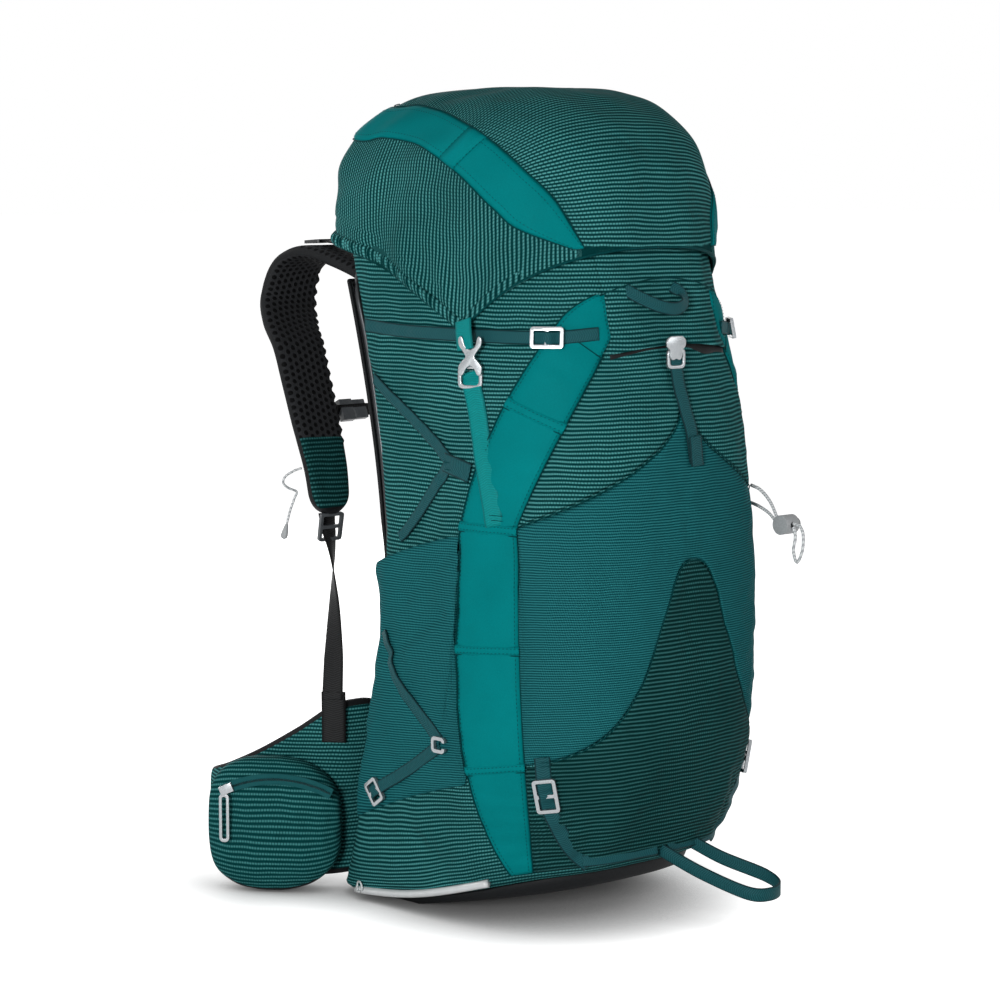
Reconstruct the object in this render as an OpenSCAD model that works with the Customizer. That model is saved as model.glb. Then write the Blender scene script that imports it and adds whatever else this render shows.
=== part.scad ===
// Hiking backpack with a domed lid, stretch pockets, a wire frame and a mesh back.
// Millimetres. +Z is up, the harness is on +Y, the front pocket faces -Y, and the
// wearer's left is -X. The floor under the base is Z = 0.

/* [Pack bag] */
// Greatest width of the bag
bag_w = 294; // [280:1:310]
// Height of the widest line
widest_z = 160; // [140:1:180]
// Width lost between the widest line and the mouth, on each side
mouth_taper = 17; // [10:1:24]
// Width lost between the widest line and the base, on each side
base_taper = 15; // [8:1:22]
// Height of the mouth, which the lid covers
bag_h = 610; // [600:1:620]
// How far the hollow of the back lies behind the middle plane
back_waist = 127; // [110:1:145]
// Height of the hollow of the back
back_waist_z = 310; // [290:1:330]
// How far the back leans out from its hollow to the mouth
back_lean_top = 72; // [60:1:80]
// How far the back leans out from its hollow to the base
back_lean_base = 60; // [50:1:70]
// How far the belly stands in front of the middle plane
belly = 128; // [110:1:140]
// Height of the belly
belly_z = 250; // [230:1:270]
// How far the front leans in from the belly to the mouth
front_lean_top = 62; // [52:1:70]
// How far the front leans in from the belly to the base
front_lean_base = 46; // [38:1:54]
// Distance from the back to the widest line of each cross-section
side_depth = 90; // [80:1:100]
// Rise of the base towards the front, as a slope
base_slope = 0.17; // [0.12:0.01:0.2]
// Height of the base at the back
base_z = 8; // [6:0.5:10]
// Thickness of the padded bag wall
bag_wall = 3; // [2:0.5:4]
// Rise of the base pad's underside in front of its flat foot, as a slope
base_rake = 0.23; // [0.2:0.01:0.26]

/* [Panels and pockets] */
// Thickness of sewn fabric panels
panel_t = 1.2; // [0.8:0.1:1.6]
// Room between the layers of fabric
layer_gap = 1; // [0.8:0.1:1.2]
// Height of the front pocket's mouth seam
seam_z = 503; // [490:1:508]
// Height of the stretch mesh at the middle of the front
mesh_peak_z = 452; // [430:1:465]
// Height of the stretch mesh at the side gussets
mesh_side_z = 352; // [335:1:360]
// Height of the bell-shaped front panel
bell_z = 318; // [290:1:330]
// Height of the side pocket's mouth
side_pocket_z = 340; // [320:1:345]

/* [Webbing] */
// Width of the side compression webbing
side_web_w = 12; // [10:1:14]
// Width of the lid webbing
lid_web_w = 16; // [14:1:18]
// Width of the pad and pocket webbing
pad_web_w = 14; // [12:1:16]
// Width of the harness webbing
harness_web_w = 20; // [18:1:24]
// Thickness of all webbing
web_t = 1.4; // [1:0.1:1.6]
// Width of the ice-axe loop's webbing
axe_web_w = 12; // [10:1:14]

/* [Buckles] */
// Bar width of the moulded buckles
bar = 3; // [2.6:0.1:3.4]
// Thickness of the moulded buckles
buckle_t = 3; // [2.6:0.1:3.4]
// Running clearance between parts that move
fit = 0.4; // [0.3:0.1:0.5]

/* [Lid] */
// Height of the lid's crown above the mouth
lid_rise = 106; // [90:1:115]
// How far below the mouth the lid's skirt turns into its dome
lid_skirt_drop = 50; // [45:1:55]
// How far the lid stands out past the bag at the sides
lid_side_gap = 9; // [8:0.5:11]
// How far the lid stands out past the bag's mouth at the back
lid_back_gap = 10; // [9:0.5:12]
// How far the lid stands out past the bag at the front
lid_front_gap = 8; // [7:0.5:10]
// Drop of the lid's hem below the mouth at the front
front_hem_drop = 30; // [26:1:34]
// Drop of the lid's hem below the mouth at its side points
tip_hem_drop = 93; // [88:0.5:93.5]
// Drop of the lid's hem below the mouth at the back
back_hem_drop = 24; // [20:1:26]
// Thickness of the lid's shell
lid_wall = 2.5; // [2:0.5:3]
// Width of the lid's zip tape
lid_zip_w = 14; // [12:1:16]

/* [Harness] */
// Width of the shoulder pads
pad_w = 60; // [54:1:64]
// Thickness of the shoulder pads
pad_t = 13; // [11:1:14]
// Wire diameter of the frame hoop
hoop_d = 6; // [5:0.5:7]
// Width of the sternum sliders
slider_w = 24; // [20:1:28]
// Thickness of the lumbar pad
lumbar_t = 12; // [10:1:14]

/* [Hip belt] */
// Thickness of the hip wings
wing_t = 12; // [10:1:14]
// Height of the hip pockets
hip_pocket_h = 112; // [104:1:116]
// Length of the hip pockets
hip_pocket_l = 104; // [96:1:108]
// How far the hip pockets stand out from the wings
hip_pocket_d = 36; // [30:1:40]
// Radius of the hip pocket's curved zip
hip_zip_r = 110; // [100:1:120]
// Width of the hip pocket's zip tape
hip_zip_w = 10; // [8:1:12]

/* [Cords] */
// Diameter of the tie cord
cord_d = 2.6; // [2:0.1:3]
// Diameter of the cord lock's barrel
lock_d = 17; // [15:0.5:19]
// Diameter of the clear sleeve on the trekking-pole loop
sleeve_d = 7; // [6:0.5:8]

/* [Hidden] */

teal = [0.15, 0.36, 0.37];
light_teal = [0.01, 0.48, 0.49];
mesh_teal = [0.09, 0.34, 0.34];
web_teal = [0.13, 0.33, 0.35];
black = [0.03, 0.03, 0.03];
silver = [0.85, 0.86, 0.87];
grey = [0.55, 0.56, 0.57];

// Shape powers of the bag's cross-section and of the lid's dome
back_power = 6;
lid_back_power = 5;
front_power = 2.75;
dome_power = 3.2;
back_curve = 1.55;
front_curve_top = 2.2;
front_curve_base = 3.2;
slope_reach = 330;
lid_lean = 4;
lid_skirt_flare = 0.35;

columns = 40;
bag_rows = 11;
lid_rows = 8;
step = 360 / columns;

// Offsets of the sewn layers above the bag's skin
panel_in = layer_gap;
panel_out = panel_in + panel_t;
strap_in = panel_out + layer_gap;
strap_out = strap_in + web_t;
buckle_in = strap_out + fit;

// Unit vector and list helpers
function unit(v) = v / norm(v);
function blend(a, b, k) = a + (b - a) * k;
function signed_angle(a) = a > 180 ? signed_angle(a - 360) : a < -180 ? signed_angle(a + 360) : a;
function spline_at(p, q, r, s, k) =
    0.5 * (2 * q + (r - p) * k + (2 * p - 5 * q + 4 * r - s) * k * k
        + (3 * q - p - 3 * r + s) * k * k * k);
function spline(p, n) = [
    for (i = [0 : len(p) - 2], k = [0 : n - 1])
        spline_at(p[max(i - 1, 0)], p[i], p[i + 1], p[min(i + 2, len(p) - 1)], k / n),
    p[len(p) - 1]];
function tangent(p, i) = unit(p[min(i + 1, len(p) - 1)] - p[max(i - 1, 0)]);

// Profiles of the bag against height
function back_y(z) =
    let (u = (z - back_waist_z) / 300)
    back_waist + (u > 0 ? back_lean_top : back_lean_base) * pow(abs(u), back_curve);
function front_y(z) =
    z > belly_z
        ? -belly + front_lean_top * pow((z - belly_z) / 360, front_curve_top)
        : -belly + front_lean_base * pow((belly_z - z) / 242, front_curve_base);
function half_w(z) =
    z > widest_z
        ? bag_w / 2 - mouth_taper * pow((z - widest_z) / 450, 1.2)
        : bag_w / 2 - base_taper * pow((widest_z - z) / 152, 2.5);
function slope_at(z) = base_slope * max(0, 1 - (z - base_z) / slope_reach);

// One point of a rounded cross-section: boxy behind the widest line, rounder in front
function section(a, hw, yb, yf, depth, off, power) =
    let (
        yc = yb - depth,
        c = cos(a),
        s = sin(a),
        n = s >= 0 ? power : front_power,
        d = s >= 0 ? depth + off : yc - yf + off,
        r = pow(pow(abs(c) / (hw + off), n) + pow(abs(s) / d, n), -1 / n))
    [r * c, yc + r * s];

// A point of the bag's skin at angle a and height z, off millimetres outside it
function skin(a, z, off = 0) =
    let (yb = back_y(z), p = section(a, half_w(z), yb, front_y(z), side_depth, off, back_power))
    [p.x, p.y, z + slope_at(z) * (yb - p.y)];
function skin_across(a, z) = skin(a + 0.5, z) - skin(a - 0.5, z);
function skin_up(a, z) = (skin(a, z + 1) - skin(a, z - 1)) / 2;
function skin_normal(a, z) = unit(cross(skin_across(a, z), skin_up(a, z)));

// The lid's skin: a skirt that hangs over the bag's mouth, closed by a dome
lid_top = bag_h + lid_rise;
lid_skirt_z = bag_h - lid_skirt_drop;
lid_hem_front = bag_h - front_hem_drop;
lid_hem_tip = bag_h - tip_hem_drop;
lid_hem_back = bag_h - back_hem_drop;
lid_half_w = half_w(lid_skirt_z) + lid_side_gap;
lid_back = back_y(bag_h) + lid_back_gap;
lid_front = front_y(lid_hem_front) - lid_front_gap;
lid_mid_y = (lid_back + lid_front) / 2;
lid_half_l = (lid_back - lid_front) / 2;
lid_tip_a = 56;
function lid_hem(a) =
    let (d = abs(signed_angle(a - 270)), k = (d - lid_tip_a) / (180 - lid_tip_a))
    d < lid_tip_a
        ? lid_hem_front - (lid_hem_front - lid_hem_tip) * pow(d / lid_tip_a, 2.8)
        : lid_hem_tip + (lid_hem_back - lid_hem_tip) * (1 - pow(1 - k, 3.3));
function lid_ring(a, z, off) =
    let (
        u = min(max(0, (z - lid_skirt_z) / (lid_top - lid_skirt_z)), 0.9999),
        s = pow(1 - pow(u, dome_power), 1 / dome_power),
        y = lid_mid_y + lid_lean * u,
        drop = max(0, lid_skirt_z - z) * lid_skirt_flare,
        p = section(a, lid_half_w * s, y + lid_half_l * s, y - lid_half_l * s - drop,
            0.72 * lid_half_l * s, off, lid_back_power))
    [p.x, p.y, z];
function lid_skin(a, t, off = 0) =
    let (low = lid_hem(a))
    lid_ring(a, low + (lid_top + off - low) * sin(90 * t), off);

// Closed solid between two open grids of points
module sheet_solid(outer, inner) {
    r = len(outer);
    c = len(outer[0]);
    n = r * c;
    points = concat([for (row = outer) each row], [for (row = inner) each row]);
    top = (r - 1) * c;
    faces = concat(
        [for (i = [0 : r - 2], j = [0 : c - 2]) let (o = i * c + j)
            each [[o, o + c, o + c + 1], [o, o + c + 1, o + 1],
                [n + o, n + o + c + 1, n + o + c], [n + o, n + o + 1, n + o + c + 1]]],
        [for (j = [0 : c - 2]) each [[j, j + 1, n + j + 1], [j, n + j + 1, n + j],
            [top + j + 1, top + j, n + top + j], [top + j + 1, n + top + j, n + top + j + 1]]],
        [for (i = [0 : r - 2]) let (o = i * c, e = i * c + c - 1)
            each [[o + c, o, n + o], [o + c, n + o, n + o + c],
                [e, e + c, n + e + c], [e, n + e + c, n + e]]]);
    polyhedron(points, faces);
}

// Closed solid through rings of points that turn right-handed about their path
module ring_solid(rings) {
    m = len(rings);
    k = len(rings[0]);
    last = (m - 1) * k;
    faces = concat(
        [for (i = [0 : m - 2], j = [0 : k - 1])
            let (o = i * k + j, q = i * k + (j + 1) % k)
            each [[o, o + k, q + k], [o, q + k, q]]],
        [for (j = [1 : k - 2]) each [[0, j, j + 1], [last, last + j + 1, last + j]]]);
    polyhedron([for (ring = rings) each ring], faces);
}

// Cup with a wall, from its closed end to its open rim
module cup_solid(outer, inner, tip_out, tip_in) {
    m = len(outer);
    k = len(outer[0]);
    n = m * k;
    rim = (m - 1) * k;
    points = concat([for (r = outer) each r], [for (r = inner) each r], [tip_out, tip_in]);
    faces = concat(
        [for (i = [0 : m - 2], j = [0 : k - 1])
            let (o = i * k + j, q = i * k + (j + 1) % k)
            each [[o, o + k, q + k], [o, q + k, q],
                [n + o, n + q + k, n + o + k], [n + o, n + q, n + q + k]]],
        [for (j = [0 : k - 1]) let (q = (j + 1) % k)
            each [[2 * n, j, q], [2 * n + 1, n + q, n + j],
                [rim + q, rim + j, n + rim + j], [rim + q, n + rim + j, n + rim + q]]]);
    polyhedron(points, faces);
}

// Fabric panel on the bag: columns of angles, each from a low to a high height
module panel(angles, rows, low, high) {
    function grid(off) = [
        for (i = [0 : rows]) [
            for (a = angles) skin(a, blend(low(a), high(a), i / rows), off)]];
    sheet_solid(grid(panel_out), grid(panel_in));
}

// Webbing that lies on the bag along a path of angles, heights and, where it is not over a
// panel, offsets
module skin_strap(path, w, n = 4) {
    p = spline([for (q = path) [q[0], q[1], len(q) > 2 ? q[2] : strap_in]], n);
    rings = [for (i = [0 : len(p) - 1])
        let (
            a = p[i][0],
            z = p[i][1],
            base = p[i][2],
            across = skin_across(a, z),
            up = skin_up(a, z),
            d = p[min(i + 1, len(p) - 1)] - p[max(i - 1, 0)],
            side = cross(unit(d[0] * across + d[1] * up), skin_normal(a, z)) * w / 2,
            da = side * across / (across * across),
            dz = side * up / (up * up))
        [skin(a - da, z - dz, base + web_t), skin(a + da, z + dz, base + web_t),
            skin(a + da, z + dz, base), skin(a - da, z - dz, base)]];
    ring_solid(rings);
}

// Flat webbing along a path in space, with its width along one direction
module ribbon(path, w, side, t = web_t, n = 3) {
    p = spline(path, n);
    rings = [for (i = [0 : len(p) - 1])
        let (
            d = tangent(p, i),
            out = unit(cross(side, d)) * t / 2,
            s = unit(cross(d, out)) * w / 2)
        [p[i] + out - s, p[i] + out + s, p[i] - out + s, p[i] - out - s]];
    ring_solid(rings);
}

// Round cord along a path in space
module cord(path, d, n = 2, sides = 6) {
    p = spline(path, n);
    rings = [for (i = [0 : len(p) - 1])
        let (
            t = tangent(p, i),
            u = unit(cross(t, abs(t.z) < 0.8 ? [0, 0, 1] : [1, 0, 0])),
            v = cross(t, u))
        [for (j = [0 : sides - 1]) p[i] + (u * cos(360 * j / sides) + v * sin(360 * j / sides)) * d / 2]];
    ring_solid(rings);
}

// Padded strap along a path in space, rounded at its edges and drawn in at its ends
module pad(path, w, t, w_start, w_end, side, n = 3, sides = 12) {
    p = spline(path, n);
    last = len(p) - 1;
    rings = [for (i = [0 : last])
        let (
            d = tangent(p, i),
            out = unit(cross(side, d)),
            s = unit(cross(d, out)),
            k = i / last,
            wide = (k < 0.5 ? blend(w_start, w, sin(180 * k)) : blend(w_end, w, sin(180 * k))) / 2)
        [for (j = [0 : sides - 1])
            let (a = 360 * (j + 0.5) / sides, c = cos(a), q = sin(a))
            p[i] + out * sign(c) * sqrt(abs(c)) * t / 2 + s * sign(q) * sqrt(abs(q)) * wide]];
    ring_solid(rings);
}

// Places a flat part on the bag: its X axis points down, its Y axis along the angle, its Z axis out
module on_skin(a, z, off) {
    n = skin_normal(a, z);
    translate(skin(a, z, off))
        rotate([0, 0, atan2(n.y, n.x)])
            rotate([0, 90 - asin(n.z), 0])
                children();
}

module both_sides() {
    children();
    mirror([1, 0, 0]) children();
}

// Rounded rectangle of size l by w, with exact corner arcs
module round_rect(l, w, r) {
    square([l - 2 * r, w], center = true);
    square([l, w - 2 * r], center = true);
    for (x = [-1, 1], y = [-1, 1])
        translate([x * (l / 2 - r), y * (w / 2 - r)]) circle(r, $fn = 32);
}

// Ladder-lock buckle: a rounded frame with a middle bar, l long and w wide
module ladder_lock(l, w) {
    slot_l = (l - 3 * bar) / 2;
    linear_extrude(buckle_t)
        difference() {
            round_rect(l, w, bar);
            for (x = [-1, 1])
                translate([x * (slot_l + bar) / 2, 0]) round_rect(slot_l, w - 2 * bar, 1);
        }
}

// Edges of the side gusset against height, and the same edges as height against angle
gusset_back_a = 192;
gusset_front_a = 215;
gusset_top_a = 248;
gusset_back_sweep = 50;
gusset_bend_z = 300;
gusset_turn_back_z = mesh_side_z - 12;
gusset_turn_front_z = mesh_side_z - 2;
gusset_top_z = 536;
gusset_base_z = 22;
foot_reach = gusset_bend_z - 16;
function gusset_back(z) =
    z < gusset_bend_z
        ? gusset_back_a + 35 * pow((gusset_bend_z - z) / foot_reach, 2)
        : gusset_back_a + gusset_back_sweep * pow(max(0, z - gusset_turn_back_z) / 200, 1.28);
function gusset_front(z) =
    z < gusset_bend_z
        ? gusset_front_a + 18 * pow((gusset_bend_z - z) / foot_reach, 1.4)
        : min(gusset_top_a + 2,
            gusset_front_a
                + (gusset_top_a - gusset_front_a) * pow(max(0, z - gusset_turn_front_z) / 150, 1.1));
function gusset_front_low_z(a) =
    gusset_bend_z - foot_reach * pow(max(0, a - gusset_front_a) / 18, 1 / 1.4);
function gusset_front_high_z(a) =
    gusset_turn_front_z + 150 * pow(max(0, a - gusset_front_a) / (gusset_top_a - gusset_front_a), 1 / 1.1);
function gusset_back_low_z(a) =
    gusset_bend_z - foot_reach * sqrt(max(0, a - gusset_back_a) / 35);
edge_gap = 3;

// Seams of the front: the pocket's mouth, the tent-shaped mesh top and the bell
function front_turn(a) = abs(a - 270);
function left_of(a) = 270 - front_turn(a);
function mouth_seam(a) = seam_z - 11 * pow(front_turn(a) / 25, 2);
function mesh_top(a) = mesh_peak_z - (mesh_peak_z - mesh_side_z) * pow(front_turn(a) / 55, 0.58);
bell_foot_z = 120;
bell_spread = 16;
function bell(a) = bell_foot_z + (bell_z - bell_foot_z) / (1 + pow(front_turn(a) / bell_spread, 3));
function pocket_top(a) = side_pocket_z - 28 * pow(max(0, gusset_back_a - a) / 35, 1.3);
function pocket_base(a) = 84 + 0.6 * (a - 162);

module packbag() {
    z_of = function(i) base_z + (bag_h - base_z) * i / bag_rows;
    edge = [[base_z, -12], [base_z + 4, -4], [base_z + 14, 0]];
    function ring(z, off) = [for (j = [0 : columns - 1]) skin(j * step, z, off)];
    outer = concat(
        [for (e = edge) ring(e[0], e[1])],
        [for (i = [1 : bag_rows]) ring(z_of(i), 0)]);
    inner = concat(
        [for (e = edge) ring(e[0] + bag_wall, e[1] - bag_wall)],
        [for (i = [1 : bag_rows]) ring(z_of(i), -bag_wall)]);
    middle = (skin(90, base_z, -12) + skin(270, base_z, -12)) / 2;
    middle_in = (skin(90, base_z + bag_wall, -12 - bag_wall)
        + skin(270, base_z + bag_wall, -12 - bag_wall)) / 2;
    color(teal) cup_solid(outer, inner, middle, middle_in);
}

// Black base pad, raked up towards the front and cut flat where the pack stands
module base_panel() {
    foot_front = back_y(base_z) - side_depth;
    function ring(inset, k) = [
        for (j = [0 : columns - 1])
            let (p = skin(j * step, base_z, -inset), under = base_rake * (foot_front - p.y))
            [p.x, p.y, blend(under, p.z - fit, k)]];
    color(black)
        intersection() {
            ring_solid([ring(26, 0), ring(17, 0.4), ring(14, 1)]);
            translate([-bag_w / 2, -bag_w, 0]) cube([bag_w, 2 * bag_w, bag_w]);
        }
}

module gusset() {
    rows = 26;
    cols = 5;
    function grid(off) = [
        for (i = [0 : rows]) let (z = blend(gusset_base_z, gusset_top_z, i / rows)) [
            for (j = [0 : cols]) skin(blend(gusset_back(z), gusset_front(z), j / cols), z, off)]];
    color(light_teal) sheet_solid(grid(panel_out), grid(panel_in));
}
module gusset_left() { gusset(); }
module gusset_right() { mirror([1, 0, 0]) gusset(); }

// Striped panel between the mesh and the mouth seam of the front pocket
module front_panel() {
    edge = gusset_front_a + 3;
    angles = [for (j = [0 : 22]) blend(edge, 540 - edge, j / 22)];
    color(teal) panel(angles, 3,
        function(a) mesh_top(a) + edge_gap / 2,
        function(a) max(mesh_top(a) + edge_gap,
            min(mouth_seam(a), gusset_front_high_z(left_of(a)) - edge_gap)));
}

// Stretch-mesh front pocket, peaked at the middle and cut round the bell
module front_pocket() {
    edge = gusset_front_a + 1;
    angles = [for (j = [0 : 22]) blend(edge, 540 - edge, j / 22)];
    color(mesh_teal) panel(angles, 7,
        function(a) max(bell(a) + edge_gap / 2, gusset_front_low_z(left_of(a)) + 2 * edge_gap),
        function(a) mesh_top(a) - edge_gap / 2);
}

// Bell-shaped hard-wearing panel of the lower front
module bell_panel() {
    edge = gusset_front_a + 10;
    angles = [for (j = [0 : 22]) blend(edge, 540 - edge, j / 22)];
    color(teal) panel(angles, 6,
        function(a) max(gusset_base_z + axe_web_w, gusset_front_low_z(left_of(a)) + 2 * edge_gap),
        function(a) bell(a) - edge_gap / 2);
}

module side_pocket() {
    angles = [for (j = [0 : 14]) blend(150, gusset_back_a + 14, j / 14)];
    color(mesh_teal) panel(angles, 7,
        function(a) pocket_base(a),
        function(a) a < gusset_back_a
            ? pocket_top(a) : min(pocket_top(a), gusset_back_low_z(a) - 2 * edge_gap));
}
module side_pocket_left() { side_pocket(); }
module side_pocket_right() { mirror([1, 0, 0]) side_pocket(); }

// Side webbing: the upper strap, the zigzag to its sewn tab, and the lower leg to the lock
comp_z = lid_hem_tip - side_web_w / 2 - 3;
bare = layer_gap - 0.2;
anchor = [190, 400];
hook = [194, 149];
side_lock = [166, 100];
module side_strap() {
    color(web_teal) {
        skin_strap([
            [152, comp_z + 3, bare], [164, comp_z + 1, bare], [178, comp_z, bare], [204, comp_z, bare],
            [224, comp_z, bare], [234, comp_z + 1], [242, comp_z + 2]], side_web_w, n = 3);
        skin_strap([[154, 462, bare], [173, 432, bare], [anchor[0] - 3, anchor[1] + 9, bare]], side_web_w);
        skin_strap([[anchor[0] - 3, anchor[1] - 8, bare], [176, 368, bare], [163, 335, bare]], side_web_w);
        skin_strap([[158, 240], [165, 208], [178, 180], hook + [-1, 4]], side_web_w);
        skin_strap([hook + [-1, -4], [181, 126], side_lock], side_web_w);
        skin_strap([
            [anchor[0] + 1, anchor[1] + 1, bare], [anchor[0] + 9, anchor[1] - 6, bare]], side_web_w + 4);
    }
}
module side_strap_left() { side_strap(); }
module side_strap_right() { mirror([1, 0, 0]) side_strap(); }

// Ladder-locks on the side webbing, and the open hooks that catch its lower leg
module side_locks() {
    color(silver) both_sides() {
        on_skin(232, comp_z, buckle_in) rotate([0, 0, 90]) ladder_lock(28, side_web_w + 6);
        on_skin(side_lock[0], side_lock[1], buckle_in) rotate([0, 0, 35]) ladder_lock(22, side_web_w + 6);
        on_skin(hook[0], hook[1], buckle_in)
            linear_extrude(buckle_t)
                difference() {
                    round_rect(14, 16, 4);
                    round_rect(14 - 2 * bar, 16 - 2 * bar, 1.5);
                    translate([0, 6]) square([5, 8], center = true);
                }
    }
}

// Lid closing webbing and the D-shaped lower half of its buckle
lid_strap_a = 206;
frame_l = 18;
frame_w = lid_web_w + 2 * bar;
frame_z = comp_z - side_web_w / 2 - frame_l - 14;
module lid_strap() {
    color(light_teal)
        skin_strap([
            [lid_strap_a, mesh_side_z + 6], [lid_strap_a - 1, 410], [lid_strap_a, frame_z + 2]], lid_web_w);
}
module lid_strap_left() { lid_strap(); }
module lid_strap_right() { mirror([1, 0, 0]) lid_strap(); }

module lid_buckle_frames() {
    color(silver) both_sides()
        on_skin(lid_strap_a, frame_z, buckle_in)
            linear_extrude(buckle_t)
                difference() {
                    round_rect(frame_l, frame_w, 5);
                    round_rect(frame_l - 2 * bar, frame_w - 2 * bar, 2.5);
                }
}

// Straps round the lower front that hold a sleeping pad
pad_lock = [231, 100];
module pad_strap() {
    color(web_teal)
        skin_strap([[228, 134], pad_lock, [234, 78], [240, 44], [246, 24]], pad_web_w);
}
module pad_strap_left() { pad_strap(); }
module pad_strap_right() { mirror([1, 0, 0]) pad_strap(); }

module pad_locks() {
    color(silver) both_sides()
        on_skin(pad_lock[0], pad_lock[1], buckle_in) rotate([0, 0, 8]) ladder_lock(30, pad_web_w + 2 * bar);
}

// Front pocket's closing strap and its hooked buckle at the mouth seam
module pocket_strap() {
    color(web_teal) skin_strap([[270, 404], [270, 445], [270, seam_z - 14]], pad_web_w);
}
module pocket_buckle() {
    color(silver)
        on_skin(270, seam_z - 6, buckle_in)
            linear_extrude(buckle_t)
                difference() {
                    union() {
                        round_rect(22, pad_web_w + 4 * bar, 4);
                        translate([-9, 0]) round_rect(10, pad_web_w, 2);
                    }
                    translate([5, 0]) round_rect(6, pad_web_w + bar, 1.5);
                    translate([-4, 0]) round_rect(5, pad_web_w - bar, 1.5);
                }
}

// Webbing loop for an ice axe, sewn by its two ends to the front of the base
axe_z = base_z + 14;
axe_root = skin(274, axe_z, fit);
axe_route = [
    [40, -24, -12], [58, -58, -24], [52, -80, -29], [32, -88, -30], [14, -78, -28], [0, -38, -16]];
module ice_axe_loop() {
    path = concat([skin(283, axe_z, fit)], [for (p = axe_route) axe_root + p], [skin(270, axe_z, fit)]);
    color(web_teal) ribbon(path, axe_web_w, [0, 0, 1]);
}

// Grab loop under the lid's front hem: angle, depth below the mouth, stand-off
module grab_loop() {
    route = [
        [255, 58, 3], [257, 68, 6], [262, 81, 11], [268, 85, 12], [274, 78, 9], [277, 64, 4], [278, 57, 3]];
    color(web_teal)
        ribbon([for (r = route) skin(r[0], bag_h - r[1], r[2])], side_web_w - 2, [0, 0.5, 1]);
}

// Elastic tie cord at the right gusset, with its sprung cord lock
lock_at = [114, -128, 341];
barrel_l = 16;
lock_bore = 2 * cord_d + 1.2;
lock_mouth = [0, lock_d / 2 + 0.1, 0];
tie_route_a = [[113, -87, 372], [116, -96, 368], [116, -108, 358], lock_at + lock_mouth + [0, 0, 1.5]];
tie_route_b = [[119, -80, 356], [119, -92, 353], [117, -106, 348], lock_at + lock_mouth - [0, 0, 1.5]];
tail_route = [
    lock_at - lock_mouth + [0, 0, 1.4], lock_at + [0, -16, 0], lock_at + [0, -20, -8],
    lock_at + [1, -18, -22], lock_at + [1, -12, -32], lock_at + [1, -8, -22], lock_at + [0, -11, -10],
    lock_at - lock_mouth - [0, 0, 1.4]];
module tie_cord() {
    color(grey) {
        cord(tie_route_a, cord_d);
        cord(tie_route_b, cord_d);
        cord(tail_route, cord_d);
    }
}
module tie_cord_lock() {
    color(grey)
        translate(lock_at) difference() {
            rotate([0, 90, 0]) cylinder(h = barrel_l, d = lock_d, center = true, $fn = 48);
            rotate([90, 0, 0]) cylinder(h = 2 * lock_d, d = lock_bore, center = true, $fn = 32);
            translate([barrel_l / 2, 0, 0]) rotate([0, 90, 0])
                cylinder(h = 2 * (barrel_l - 3), d = lock_d - 5, center = true, $fn = 48);
        }
}
module tie_cord_button() {
    stem = lock_d - 5 - 2 * fit;
    color(silver)
        translate(lock_at + [barrel_l / 2, 0, 0]) rotate([0, 90, 0]) {
            translate([0, 0, -3.4]) cylinder(h = 7.8, d = stem, $fn = 48);
            translate([0, 0, 4.4]) cylinder(h = 2, d1 = stem, d2 = stem - 3, $fn = 48);
        }
}

// Trekking-pole loop: a clear sleeve on elastic along the left edge of the base
module pole_loop() {
    path = [for (a = [158, 174, 190, 206, 220]) skin(a, base_z + 6, 1.8)];
    color(silver) cord(path, sleeve_d, 3, 10);
}

// Wire frame round the edge of the back
hoop_off = hoop_d / 2 + fit;
hoop_a = 144;
hoop_top_z = bag_h - 36;
hoop_foot_z = 56;
hoop_bends = 11;
mesh_in = hoop_off + hoop_d / 2 + fit;
mesh_out = mesh_in + 1.4;
module frame_hoop() {
    leg = [for (i = [0 : hoop_bends]) [hoop_a, blend(hoop_foot_z, hoop_top_z - 34, i / hoop_bends)]];
    bow = [[138, hoop_top_z - 12], [126, hoop_top_z], [108, hoop_top_z + 4]];
    left = concat(leg, bow);
    right = [for (i = [len(left) - 1 : -1 : 0]) [180 - left[i][0], left[i][1]]];
    path = [for (p = concat(left, right)) skin(p[0], p[1], hoop_off)];
    color(silver) cord(path, hoop_d, 2, 6);
}

// Mesh stretched over the frame, which holds the pack off the wearer's back
module back_mesh() {
    rows = 10;
    cols = 14;
    mesh_low = hoop_foot_z + 22;
    mesh_high = hoop_top_z - 26;
    function grid(off) = [
        for (i = [0 : rows]) [for (j = [0 : cols])
            skin(blend(180 - hoop_a, hoop_a, j / cols), blend(mesh_low, mesh_high, i / rows), off)]];
    color(black) sheet_solid(grid(mesh_out), grid(mesh_in));
}

yoke_z = bag_h - 80;
yoke_in = mesh_out + fit;
yoke_t = 5;
yoke_top = yoke_z + 22;
yoke_low = yoke_z - 25;
function yoke_at(z) = back_y(z) + yoke_in + yoke_t;
module yoke_plate() {
    rows = 3;
    cols = 8;
    function grid(off) = [
        for (i = [0 : rows]) [for (j = [0 : cols])
            skin(blend(60, 120, j / cols), blend(yoke_low, yoke_top, i / rows), off)]];
    color(black) sheet_solid(grid(yoke_in + yoke_t), grid(yoke_in));
}

module haul_loop() {
    root = skin(90, yoke_top, yoke_in + yoke_t / 2);
    route = [[-24, 0, 1.3], [-23, 4, 7], [-18, 12, 15], [0, 17, 19], [18, 12, 15], [23, 4, 7], [24, 0, 1.3]];
    color(black) ribbon([for (p = route) root + p], 11, [0, 1, 0], n = 2);
}

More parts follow.
